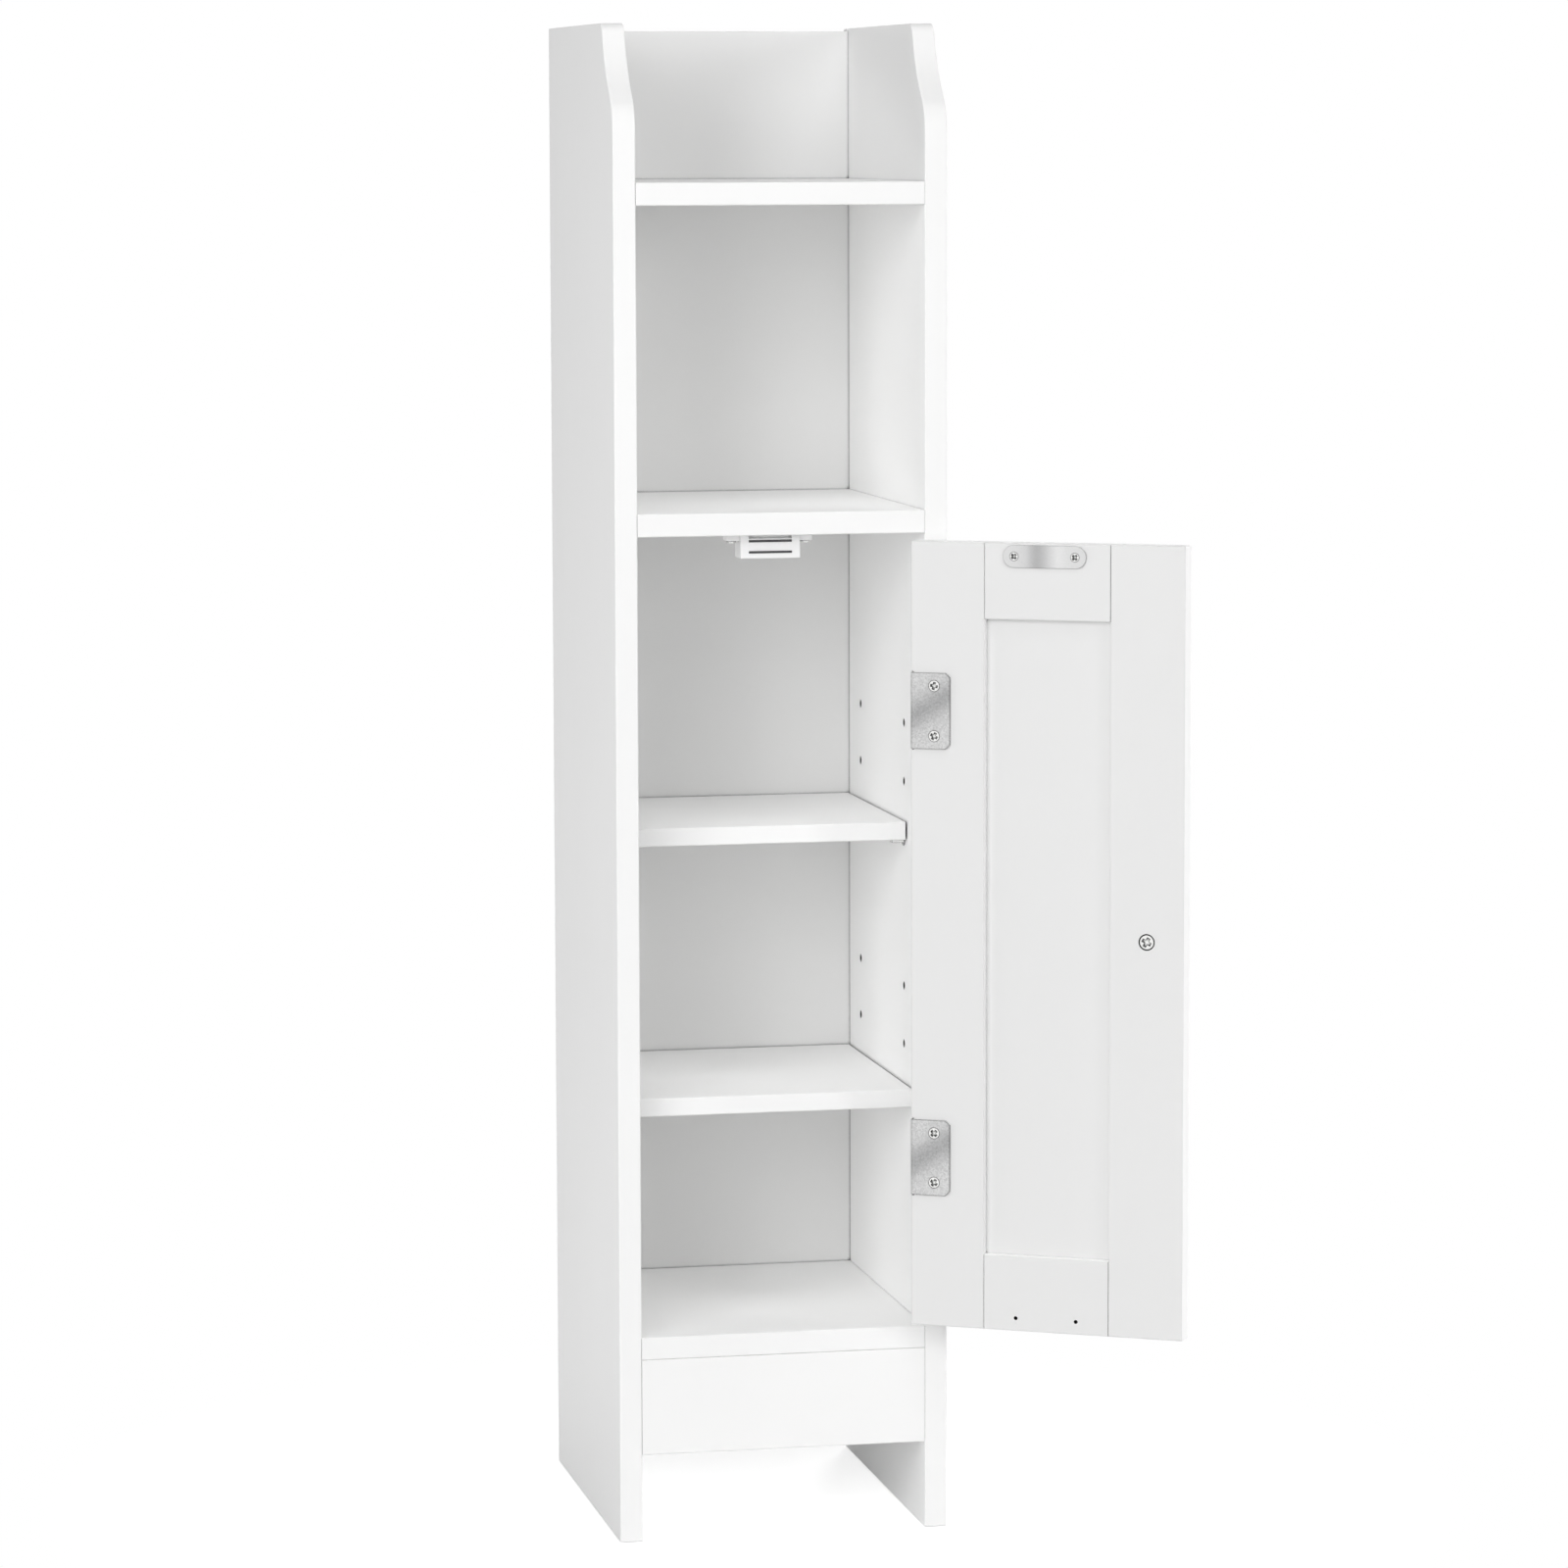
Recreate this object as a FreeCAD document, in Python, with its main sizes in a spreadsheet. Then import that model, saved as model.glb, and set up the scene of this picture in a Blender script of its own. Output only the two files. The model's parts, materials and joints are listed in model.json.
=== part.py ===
"""Narrow bathroom cabinet: an open tray and compartment above a cupboard with one inset door.

X points right, Y to the back and Z up, in millimetres. The origin is on the floor under the middle
of the carcass. The door's pieces are placed as if it were closed, and then turned about the hinge
axis to the angle at which the door rests.
"""
import FreeCAD, Part
import math
import os
import Sketcher

SIZES = {
    # Carcass boards and the heights between them
    "clear_width": 192,
    "carcass_depth": 248,
    "board": 15,
    "toe_gap": 58,
    "plinth_height": 64,
    "opening_height": 530,
    "open_height": 200,
    "tray_height": 103,
    "edge_round": 0.8,
    # Swept front of the side panels beside the tray
    "sweep_setback": 37,
    "sweep_drop": 70,
    "crown_radius": 8,
    "sweep_radius": 105,
    "nose_radius": 30,
    # Back panel in the side panels' grooves
    "back_thickness": 5,
    "back_inset": 10,
    "back_top_drop": 2,
    "back_gap": 0.4,
    "groove_depth": 6,
    "groove_clearance": 0.3,
    "back_screw_spacing": 110,
    # Flat-pack joints of the fixed boards
    "cam_hole": 15,
    "cam_hole_depth": 12.5,
    "cam_inset": 34,
    "cam_front": 45,
    "cam_rear": 40,
    "cam_slot_span": 9,
    "cam_slot_width": 1.8,
    "cam_slot_depth": 2.2,
    "bolt_bore": 8,
    "bolt_hole": 6,
    "bolt_hole_depth": 11,
    "bolt_thread_length": 10.5,
    "bolt_shank": 5,
    "bolt_neck": 3.4,
    "bolt_neck_length": 4,
    "bolt_head": 6.6,
    "bolt_head_length": 2.4,
    "dowel_hole": 8,
    "dowel_length": 30,
    "dowel_in_side": 10,
    "dowel_chamfer": 1,
    "plinth_bolt_height": 44,
    "plinth_dowel_height": 18,
    "fit_clearance": 0.1,
    # Adjustable shelves and their spoon pins
    "shelf_thickness": 12,
    "lower_setback": 31,
    "upper_setback": 52,
    "shelf_side_gap": 0.4,
    "shelf_back_gap": 1,
    "lower_row": 141.5,
    "upper_row": 319.5,
    "row_pitch": 39.5,
    "front_column": 62,
    "rear_column": 36,
    "pin_hole": 5,
    "pin_hole_depth": 9,
    "peg_length": 8,
    "collar_diameter": 8,
    "collar_thickness": 0.8,
    "tongue_length": 9,
    "tongue_width": 7.5,
    "tongue_thickness": 2.5,
    "tongue_rise": 1,
    # Magnetic catch under the middle shelf
    "catch_offset": -4,
    "catch_width": 40,
    "catch_depth": 18,
    "catch_height": 16.4,
    "ear_span": 58,
    "ear_depth": 13,
    "ear_setback": 2,
    "ear_thickness": 4.8,
    "ear_corner": 2,
    "mouth_width": 28.8,
    "mouth_height": 8.7,
    "mouth_top": 4.2,
    "mouth_depth": 14,
    "catch_web": 2,
    "relief_height": 3.2,
    "relief_depth": 6,
    "pole_thickness": 1.2,
    "pole_proud": 0.8,
    "pole_gap": 0.9,
    "catch_screw_spacing": 49,
    # Hinges
    "leaf_sheet": 2,
    "leaf_height": 50,
    "leaf_width": 27,
    "leaf_corner": 3,
    "leaf_screw_spacing": 33,
    "leaf_screw_setback": 16.4,
    "hinge_pin": 3.8,
    "pin_clearance": 0.05,
    "pin_head": 6.6,
    "pin_head_length": 1,
    "knuckle_gap": 0.4,
    "hinge_projection": 6.5,
    "hinge_from_top": 110.9,
    "hinge_from_bottom": 112.9,
    "rebate_clearance": 1,
    # Frame-and-panel door
    "door_thickness": 15,
    "door_gap": 3.5,
    "door_top_gap": 3.5,
    "door_bottom_gap": 6.5,
    "stile_width": 50,
    "rail_width": 50,
    "panel_thickness": 5,
    "panel_recess": 4,
    "panel_groove": 7,
    "panel_clearance": 0.5,
    "rest_opening": 150,
    # Strike plate and the spare pilot holes of a door that can hang on either side
    "strike_length": 56,
    "strike_width": 14.6,
    "strike_sheet": 1.5,
    "strike_offset": 1.6,
    "strike_inset": 1.2,
    "strike_screw_spacing": 41,
    "pilot_hole": 2.6,
    "pilot_depth": 8,
    # Screws
    "screw_shank": 3,
    "leaf_screw_shank": 3.6,
    "screw_length": 12,
    "screw_dome": 0.5,
    "screw_tip": 2.5,
    "pan_head": 6.6,
    "pan_head_height": 2,
    "pan_head_round": 1.2,
    "pan_screw_length": 14,
    "recess_span_share": 0.64,
    "recess_width_share": 0.22,
    "recess_depth": 1.2,
    # Knob and its screw
    "knob_diameter": 28,
    "knob_projection": 25,
    "knob_rim": 7,
    "knob_base": 15,
    "knob_waist": 10,
    "knob_foot": 3,
    "knob_shoulder": 15,
    "knob_round": 3,
    "knob_rise": 2,
    "knob_thread_depth": 9,
    "knob_screw_shank": 4,
    "knob_screw_head": 10,
    "knob_screw_reach": 8,
    "counterbore": 10.9,
    "counterbore_depth": 1.8,
    # How far a cut runs past the face that it opens
    "overrun": 2,
}

# Heights, from the floor up
BOTTOM_Z = "(dims.toe_gap + dims.plinth_height)"
CUPBOARD_Z = f"({BOTTOM_Z} + dims.board)"
MIDDLE_Z = f"({CUPBOARD_Z} + dims.opening_height)"
TOP_Z = f"({MIDDLE_Z} + dims.board + dims.open_height)"
CARCASS_HEIGHT = f"({TOP_Z} + dims.board + dims.tray_height)"
LOWER_ROW_Z = f"({CUPBOARD_Z} + dims.lower_row)"
UPPER_ROW_Z = f"({CUPBOARD_Z} + dims.upper_row)"

# Widths and depths of the carcass
INNER_X = "(dims.clear_width / 2)"
FRONT_Y = "(-dims.carcass_depth / 2)"
BACK_FACE = "(dims.carcass_depth - dims.back_inset - dims.back_thickness)"
SHELF_DEPTH = f"({BACK_FACE} - dims.back_gap)"
CAM_DEPTHS = ["dims.cam_front", f"({SHELF_DEPTH} - dims.cam_rear)"]
DOWEL_DEPTH = f"(({CAM_DEPTHS[0]} + {CAM_DEPTHS[1]}) / 2)"
PIN_COLUMNS = ["dims.front_column", f"({BACK_FACE} - dims.rear_column)"]
PIN_ROWS = 3

# Hinge axis and knuckles
KNUCKLE_RADIUS = "(dims.hinge_pin / 2 + dims.pin_clearance + dims.leaf_sheet)"
KNUCKLES = 5
KNUCKLE_LENGTH = f"((dims.leaf_height - {KNUCKLES - 1} * dims.knuckle_gap) / {KNUCKLES})"
KNUCKLE_PITCH = f"({KNUCKLE_LENGTH} + dims.knuckle_gap)"
STRAP_END = f"({KNUCKLE_RADIUS} + dims.knuckle_gap)"
AXIS_X = f"({INNER_X} - {KNUCKLE_RADIUS})"
AXIS_Y = f"({FRONT_Y} - dims.hinge_projection)"

# Closed door
DOOR_EDGE_X = f"({INNER_X} - dims.door_gap)"
DOOR_WIDTH = "(dims.clear_width - 2 * dims.door_gap)"
DOOR_Z = f"({CUPBOARD_Z} + dims.door_bottom_gap)"
DOOR_HEIGHT = "(dims.opening_height - dims.door_top_gap - dims.door_bottom_gap)"
DOOR_TOP = f"({DOOR_Z} + {DOOR_HEIGHT})"
DOOR_BACK_Y = f"({FRONT_Y} + dims.door_thickness)"
RAIL_LENGTH = f"({DOOR_WIDTH} - 2 * dims.stile_width)"
HINGE_Z = {
    "upper": f"({DOOR_TOP} - dims.hinge_from_top - dims.leaf_height / 2)",
    "lower": f"({DOOR_Z} + dims.hinge_from_bottom - dims.leaf_height / 2)",
}
LEAF_SCREW_HEIGHTS = [f"(dims.leaf_height / 2 + {side} * dims.leaf_screw_spacing / 2)" for side in (-1, 1)]
KNOB_X = f"({DOOR_EDGE_X} - {DOOR_WIDTH} + dims.stile_width / 2)"
KNOB_HEIGHT = f"({DOOR_HEIGHT} / 2 + dims.knob_rise)"
STRIKE_HEIGHT = "(dims.strike_inset + dims.strike_width / 2)"
STRIKE_X = f"({DOOR_EDGE_X} - {DOOR_WIDTH} / 2 + dims.strike_offset)"
STRIKE_SCREW_X = [f"({side} * dims.strike_screw_spacing / 2)" for side in (-1, 1)]
CATCH_FACE_Y = f"({DOOR_BACK_Y} + dims.strike_sheet + dims.pole_gap + dims.pole_proud)"
CATCH_SCREW_X = [f"({side} * dims.catch_screw_spacing / 2)" for side in (-1, 1)]
CATCH_SCREW_DEPTH = "(dims.ear_setback + dims.ear_depth / 2)"
BACK_SCREW_X = [f"({side} * dims.back_screw_spacing / 2)" for side in (-1, 1)]
SHELF_MIDDLES = [f"({height} + dims.board / 2)" for height in (BOTTOM_Z, MIDDLE_Z, TOP_Z)]

# Holes that take a fastener, each wider than its shank by the fit's clearance
SCREW_HOLE = "(dims.screw_shank + 2 * dims.fit_clearance)"
LEAF_SCREW_HOLE = "(dims.leaf_screw_shank + 2 * dims.fit_clearance)"
KNOB_SCREW_HOLE = "(dims.knob_screw_shank + 2 * dims.fit_clearance)"

# Turns of a fastener whose own axis points up
UPRIGHT = "rotation(vector(0; 0; 1); 0)"
FACING_BACK = "rotation(vector(0; 0; 1); 180)"
INTO_RIGHT = "rotation(vector(0; 1; 0); 90)"
INTO_FRONT = "rotation(vector(1; 0; 0); 90)"

# Degrees at which the driver leaves one screw after another
DRIVEN_TURNS = [45, 28, 12, 33]

doc = FreeCAD.newDocument("narrow_bathroom_cabinet")
dims = doc.addObject("Spreadsheet::Sheet", "dims")
for row, (alias, value) in enumerate(SIZES.items(), start=1):
    dims.set(f"A{row}", alias)
    dims.set(f"B{row}", str(value))
    dims.setAlias(f"B{row}", alias)
doc.recompute()

door_swing = doc.addObject("App::Placement", "door_swing")
door_swing.setExpression(
    "Placement",
    f"placement(vector({AXIS_X}; {AXIS_Y}; 0); rotation(vector(0; 0; 1); dims.rest_opening))"
    f" * placement(vector(-{AXIS_X}; -{AXIS_Y}; 0); {UPRIGHT})",
)


def size(alias):
    """The sheet's number for one driving dimension."""
    return float(dims.get(alias))


def place(piece, x, y, z, turn=UPRIGHT, on_door=False):
    """Binds a piece's Placement to the sheet; a door piece is placed closed and follows the swing."""
    spot = f"placement(vector({x}; {y}; {z}); {turn})"
    piece.setExpression("Placement", f"door_swing.Placement * {spot}" if on_door else spot)
    return piece


def new_body(node):
    return doc.addObject("PartDesign::Body", node)


def new_sketch(body, name, plane, offset="0"):
    """A sketch on one of its body's origin planes, moved along the plane's normal by offset."""
    sketch = body.newObject("Sketcher::SketchObject", f"{body.Name}_{name}")
    support = next(feature for feature in body.Origin.OriginFeatures if feature.Role == plane)
    sketch.AttachmentSupport = [(support, "")]
    sketch.MapMode = "FlatFace"
    sketch.setExpression("AttachmentOffset.Base.z", offset)
    return sketch


def bind(sketch, kind, ends, expression, start=1.0):
    """A dimension of a sketch, driven by an expression; start is its value as first drawn."""
    index = sketch.addConstraint(Sketcher.Constraint(kind, *ends, start))
    sketch.setExpression(f"Constraints[{index}]", expression)


def polygon(sketch, corners):
    """A closed outline of straight lines whose corners follow expressions."""
    count = len(corners)
    first = sketch.GeometryCount
    angles = [2 * math.pi * k / count for k in range(count)]
    points = [FreeCAD.Vector(math.cos(angle), math.sin(angle), 0) for angle in angles]
    for k in range(count):
        sketch.addGeometry(Part.LineSegment(points[k], points[(k + 1) % count]))
    for k in range(count):
        sketch.addConstraint(Sketcher.Constraint("Coincident", first + k, 2, first + (k + 1) % count, 1))
    for k, (x, y) in enumerate(corners):
        bind(sketch, "DistanceX", (-1, 1, first + k, 1), x)
        bind(sketch, "DistanceY", (-1, 1, first + k, 1), y)


def rectangle(sketch, left, bottom, right, top):
    polygon(sketch, [(left, bottom), (right, bottom), (right, top), (left, top)])


def circle(sketch, x, y, diameter):
    index = sketch.addGeometry(Part.Circle(FreeCAD.Vector(0, 0, 0), FreeCAD.Vector(0, 0, 1), 1))
    bind(sketch, "DistanceX", (-1, 1, index, 3), x)
    bind(sketch, "DistanceY", (-1, 1, index, 3), y)
    bind(sketch, "Diameter", (index,), diameter)


def cross(sketch, span, width):
    """A plus-shaped outline about the sketch's origin."""
    far, near = f"({span} / 2)", f"({width} / 2)"
    quarter = [(far, near), (near, near), (near, far)]
    corners = []
    for _ in range(4):
        corners += quarter
        quarter = [(f"(-{y})", x) for x, y in quarter]
    polygon(sketch, corners)


def pad(body, sketch, length, backwards=False, both_ways=False):
    feature = body.newObject("PartDesign::Pad", f"{sketch.Name}_pad")
    feature.Profile = sketch
    feature.setExpression("Length", length)
    feature.Reversed = backwards
    feature.Midplane = both_ways
    doc.recompute()
    return feature


def pocket(body, sketch, depth, backwards=False):
    """Cuts a sketch into its body, against the sketch's normal or backwards, and checks that it cut."""
    before = body.Shape.Volume
    feature = body.newObject("PartDesign::Pocket", f"{sketch.Name}_pocket")
    feature.Profile = sketch
    feature.setExpression("Length", depth)
    feature.Reversed = backwards
    doc.recompute()
    if body.Shape.Volume >= before:
        raise ValueError(f"{feature.Name} cuts nothing")
    return feature


def revolve(body, sketch, axis):
    feature = body.newObject("PartDesign::Revolution", f"{sketch.Name}_turned")
    feature.Profile = sketch
    feature.ReferenceAxis = (sketch, [axis])
    feature.Angle = 360
    doc.recompute()
    return feature


def dress(body, kind, amount, chosen):
    """Rounds or chamfers those edges of a body's last feature whose middle passes the test chosen."""
    base = body.Tip
    names = [f"Edge{k}" for k, edge in enumerate(base.Shape.Edges, start=1) if chosen(edge.CenterOfMass)]
    feature = body.newObject(f"PartDesign::{kind}", f"{base.Name}_{kind.lower()}")
    feature.Base = (base, names)
    feature.setExpression("Radius" if kind == "Fillet" else "Size", amount)
    doc.recompute()
    return feature


def driven(turn, number):
    """A fastener's turn, with the angle at which its driver left it."""
    return f"{turn} * rotation(vector(0; 0; 1); {DRIVEN_TURNS[number % len(DRIVEN_TURNS)]})"


def near(value, target):
    return math.isclose(value, target, abs_tol=1e-6 * size("carcass_depth"))


def group(node, pattern, spots, on_door=False):
    """One node of separate, identical solids: a linked copy of the pattern at each spot."""
    copies = []
    for number, spot in enumerate(spots, start=1):
        copy = doc.addObject("App::Link", f"{node}_{number}")
        copy.LinkedObject = pattern
        copies.append(place(copy, *spot, on_door=on_door))
    compound = doc.addObject("Part::Compound", node)
    compound.Links = copies
    return compound


def swept_outline(sketch):
    """Side panel outline: straight bottom, back and front, and three tangent arcs at the top front."""
    height = sum(size(alias) for alias in ("toe_gap", "plinth_height", "opening_height", "open_height"))
    height += 3 * size("board") + size("tray_height")
    depth = size("carcass_depth")
    crown, sweep, nose = size("crown_radius"), size("sweep_radius"), size("nose_radius")
    vector = FreeCAD.Vector
    crown_centre = vector(size("sweep_setback") + crown, height - crown, 0)
    nose_centre = vector(nose, height - size("sweep_drop"), 0)
    # The sweep's centre is one radius sum away from each of the other two centres
    line = crown_centre - nose_centre
    along = (line.Length ** 2 + (sweep + nose) ** 2 - (sweep + crown) ** 2) / (2 * line.Length)
    across = math.sqrt((sweep + nose) ** 2 - along ** 2)
    unit = vector(line).normalize()
    sweep_centre = nose_centre + unit * along + vector(-unit.y, unit.x, 0) * across
    crown_end = (sweep_centre - crown_centre).normalize()
    nose_end = (sweep_centre - nose_centre).normalize()

    def arc(centre, radius, start, end):
        whole = Part.Circle(centre, vector(0, 0, 1), radius)
        return Part.ArcOfCircle(whole, math.atan2(start.y, start.x), math.atan2(end.y, end.x))

    up, forward = vector(0, 1, 0), vector(-1, 0, 0)
    crown_tip = crown_centre + crown_end * crown
    nose_tip = nose_centre + nose_end * nose
    bottom, rear, top, front, crown_arc, sweep_arc, nose_arc = sketch.addGeometry([
        Part.LineSegment(vector(0, 0, 0), vector(depth, 0, 0)),
        Part.LineSegment(vector(depth, 0, 0), vector(depth, height, 0)),
        Part.LineSegment(vector(depth, height, 0), crown_centre + up * crown),
        Part.LineSegment(nose_centre + forward * nose, vector(0, 0, 0)),
        arc(crown_centre, crown, up, crown_end),
        arc(sweep_centre, sweep, nose_tip - sweep_centre, crown_tip - sweep_centre),
        arc(nose_centre, nose, nose_end, forward),
    ])
    for ends in ((bottom, 2, rear, 1), (rear, 2, top, 1), (front, 2, bottom, 1)):
        sketch.addConstraint(Sketcher.Constraint("Coincident", *ends))
    for ends in ((top, 2, crown_arc, 1), (crown_arc, 2, sweep_arc, 2), (sweep_arc, 1, nose_arc, 1),
                 (nose_arc, 2, front, 1)):
        sketch.addConstraint(Sketcher.Constraint("Tangent", *ends))
    sketch.addConstraint(Sketcher.Constraint("Coincident", front, 2, -1, 1))
    for kind, index in (("Horizontal", bottom), ("Vertical", rear), ("Horizontal", top), ("Vertical", front)):
        sketch.addConstraint(Sketcher.Constraint(kind, index))
    crown_x = "dims.sweep_setback + dims.crown_radius"
    bind(sketch, "Radius", (crown_arc,), "dims.crown_radius", crown)
    bind(sketch, "Radius", (sweep_arc,), "dims.sweep_radius", sweep)
    bind(sketch, "Radius", (nose_arc,), "dims.nose_radius", nose)
    bind(sketch, "DistanceX", (-1, 1, crown_arc, 3), crown_x, crown_centre.x)
    bind(sketch, "DistanceY", (-1, 1, front, 1), f"{CARCASS_HEIGHT} - dims.sweep_drop", nose_centre.y)
    bind(sketch, "DistanceX", (bottom, 1, bottom, 2), "dims.carcass_depth", depth)
    bind(sketch, "DistanceY", (rear, 1, rear, 2), CARCASS_HEIGHT, height)


def side_panel(node, side):
    """A side board from the floor up, drawn on its inner face; side is 1 on the right, -1 on the left."""
    right = side > 0
    body = new_body(node)
    outline = new_sketch(body, "outline", "YZ_Plane")
    swept_outline(outline)
    pad(body, outline, "dims.board", backwards=not right)

    def on_front_or_top(middle):
        on_face = near(middle.x, 0) or near(abs(middle.x), size("board"))
        return on_face and not near(middle.z, 0) and not near(middle.y, size("carcass_depth"))

    dress(body, "Fillet", "dims.edge_round", on_front_or_top)
    groove = new_sketch(body, "groove", "YZ_Plane")
    rectangle(
        groove,
        f"{BACK_FACE} - dims.groove_clearance",
        BOTTOM_Z,
        f"{BACK_FACE} + dims.back_thickness + dims.groove_clearance",
        f"{CARCASS_HEIGHT} + dims.overrun",
    )
    pocket(body, groove, "dims.groove_depth", backwards=right)
    pins = new_sketch(body, "pin_holes", "YZ_Plane")
    for first_row in (LOWER_ROW_Z, UPPER_ROW_Z):
        for row_number in range(PIN_ROWS):
            for column in PIN_COLUMNS:
                circle(pins, column, f"{first_row} + {row_number} * dims.row_pitch", "dims.pin_hole")
    pocket(body, pins, "dims.pin_hole_depth", backwards=right)
    bolts = new_sketch(body, "bolt_holes", "YZ_Plane")
    dowels = new_sketch(body, "dowel_holes", "YZ_Plane")
    for height in SHELF_MIDDLES:
        for depth in CAM_DEPTHS:
            circle(bolts, depth, height, "dims.bolt_hole")
        circle(dowels, DOWEL_DEPTH, height, "dims.dowel_hole")
    circle(bolts, "dims.board / 2", "dims.toe_gap + dims.plinth_bolt_height", "dims.bolt_hole")
    circle(dowels, "dims.board / 2", "dims.toe_gap + dims.plinth_dowel_height", "dims.dowel_hole")
    pocket(body, bolts, "dims.bolt_hole_depth", backwards=right)
    pocket(body, dowels, "dims.dowel_in_side + dims.fit_clearance", backwards=right)
    if right:
        screws = new_sketch(body, "hinge_screw_holes", "YZ_Plane")
        for hinge_z in HINGE_Z.values():
            for height in LEAF_SCREW_HEIGHTS:
                circle(screws, "dims.leaf_screw_setback", f"{hinge_z} + {height}", LEAF_SCREW_HOLE)
        pocket(body, screws, "dims.screw_length + dims.fit_clearance", backwards=True)
    return place(body, f"{side} * {INNER_X}", FRONT_Y, "0")


def end_bores(body, name, spots, diameter, depth):
    """Bores into both ends of a board between the side panels, at spots given on its end face."""
    for end, side in (("left", -1), ("right", 1)):
        sketch = new_sketch(body, f"{name}_{end}", "YZ_Plane", f"{side} * {INNER_X}")
        for spot in spots:
            circle(sketch, *spot, diameter)
        pocket(body, sketch, depth, backwards=side < 0)


def fixed_shelf(node, height):
    """A board between the sides, with cam holes in its underside and screw holes in its rear edge."""
    body = new_body(node)
    outline = new_sketch(body, "outline", "XY_Plane")
    rectangle(outline, f"-{INNER_X}", "0", INNER_X, SHELF_DEPTH)
    pad(body, outline, "dims.board")
    dress(body, "Fillet", "dims.edge_round", lambda middle: near(middle.y, 0) and near(middle.x, 0))
    cams = new_sketch(body, "cam_holes", "XY_Plane")
    for side in (-1, 1):
        for depth in CAM_DEPTHS:
            circle(cams, f"{side} * ({INNER_X} - dims.cam_inset)", depth, "dims.cam_hole")
    pocket(body, cams, "dims.cam_hole_depth", backwards=True)
    middle = "dims.board / 2"
    bolt_spots = [(depth, middle) for depth in CAM_DEPTHS]
    end_bores(body, "bolt_bores", bolt_spots, "dims.bolt_bore", "dims.cam_inset")
    dowel_depth = "dims.dowel_length - dims.dowel_in_side + dims.fit_clearance"
    end_bores(body, "dowel_bores", [(DOWEL_DEPTH, middle)], "dims.dowel_hole", dowel_depth)
    screws = new_sketch(body, "back_screw_holes", "XZ_Plane", f"-{SHELF_DEPTH}")
    for x in BACK_SCREW_X:
        circle(screws, x, middle, SCREW_HOLE)
    pocket(body, screws, "dims.pan_screw_length - dims.back_thickness", backwards=True)
    return place(body, "0", FRONT_Y, height)


def middle_shelf():
    """The fixed shelf over the cupboard, which also carries the catch's screws."""
    body = fixed_shelf("middle_shelf", MIDDLE_Z)
    screws = new_sketch(body, "catch_screw_holes", "XY_Plane")
    depth = f"{CATCH_FACE_Y} - {FRONT_Y} + {CATCH_SCREW_DEPTH}"
    for x in CATCH_SCREW_X:
        circle(screws, f"dims.catch_offset + {x}", depth, SCREW_HOLE)
    pocket(body, screws, "dims.pan_screw_length - dims.ear_thickness + dims.fit_clearance", backwards=True)
    return body


def plinth_board():
    """The board under the bottom shelf, joined to the sides by a cam and a dowel at each end."""
    body = new_body("plinth_board")
    outline = new_sketch(body, "outline", "XY_Plane")
    rectangle(outline, f"-{INNER_X}", "0", INNER_X, "dims.board")
    pad(body, outline, "dims.plinth_height")
    dress(body, "Fillet", "dims.edge_round", lambda middle: near(middle.y, 0) and near(middle.x, 0))
    cams = new_sketch(body, "cam_holes", "XZ_Plane", "-dims.board")
    for side in (-1, 1):
        circle(cams, f"{side} * ({INNER_X} - dims.cam_inset)", "dims.plinth_bolt_height", "dims.cam_hole")
    pocket(body, cams, "dims.cam_hole_depth", backwards=True)
    middle = "dims.board / 2"
    end_bores(body, "bolt_bores", [(middle, "dims.plinth_bolt_height")], "dims.bolt_bore", "dims.cam_inset")
    dowel_depth = "dims.dowel_length - dims.dowel_in_side + dims.fit_clearance"
    end_bores(body, "dowel_bores", [(middle, "dims.plinth_dowel_height")], "dims.dowel_hole", dowel_depth)
    return place(body, "0", FRONT_Y, "dims.toe_gap")


def back_panel():
    """A thin board that stands on the closed lower ends of the side panels' grooves."""
    body = new_body("back_panel")
    half_width = f"({INNER_X} + dims.groove_depth - dims.groove_clearance)"
    outline = new_sketch(body, "outline", "XZ_Plane")
    rectangle(outline, f"-{half_width}", BOTTOM_Z, half_width, f"{CARCASS_HEIGHT} - dims.back_top_drop")
    pad(body, outline, "dims.back_thickness", backwards=True)
    screws = new_sketch(body, "screw_holes", "XZ_Plane")
    for height in SHELF_MIDDLES:
        for x in BACK_SCREW_X:
            circle(screws, x, height, SCREW_HOLE)
    pocket(body, screws, "dims.back_thickness + dims.overrun")
    return place(body, "0", f"{FRONT_Y} + {BACK_FACE}", "0")


def adjustable_shelf(node, row_z, setback):
    """A loose board on the flat tongues of its four pins, between their collars, set back from the front."""
    body = new_body(node)
    half_width = f"({INNER_X} - dims.collar_thickness - dims.shelf_side_gap)"
    outline = new_sketch(body, "outline", "XY_Plane")
    rectangle(outline, f"-{half_width}", "0", half_width, f"{BACK_FACE} - {setback} - dims.shelf_back_gap")
    pad(body, outline, "dims.shelf_thickness")
    dress(body, "Fillet", "dims.edge_round", lambda middle: near(middle.y, 0) and near(middle.x, 0))
    return place(body, "0", f"{FRONT_Y} + {setback}", f"{row_z} + dims.tongue_rise")


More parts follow.
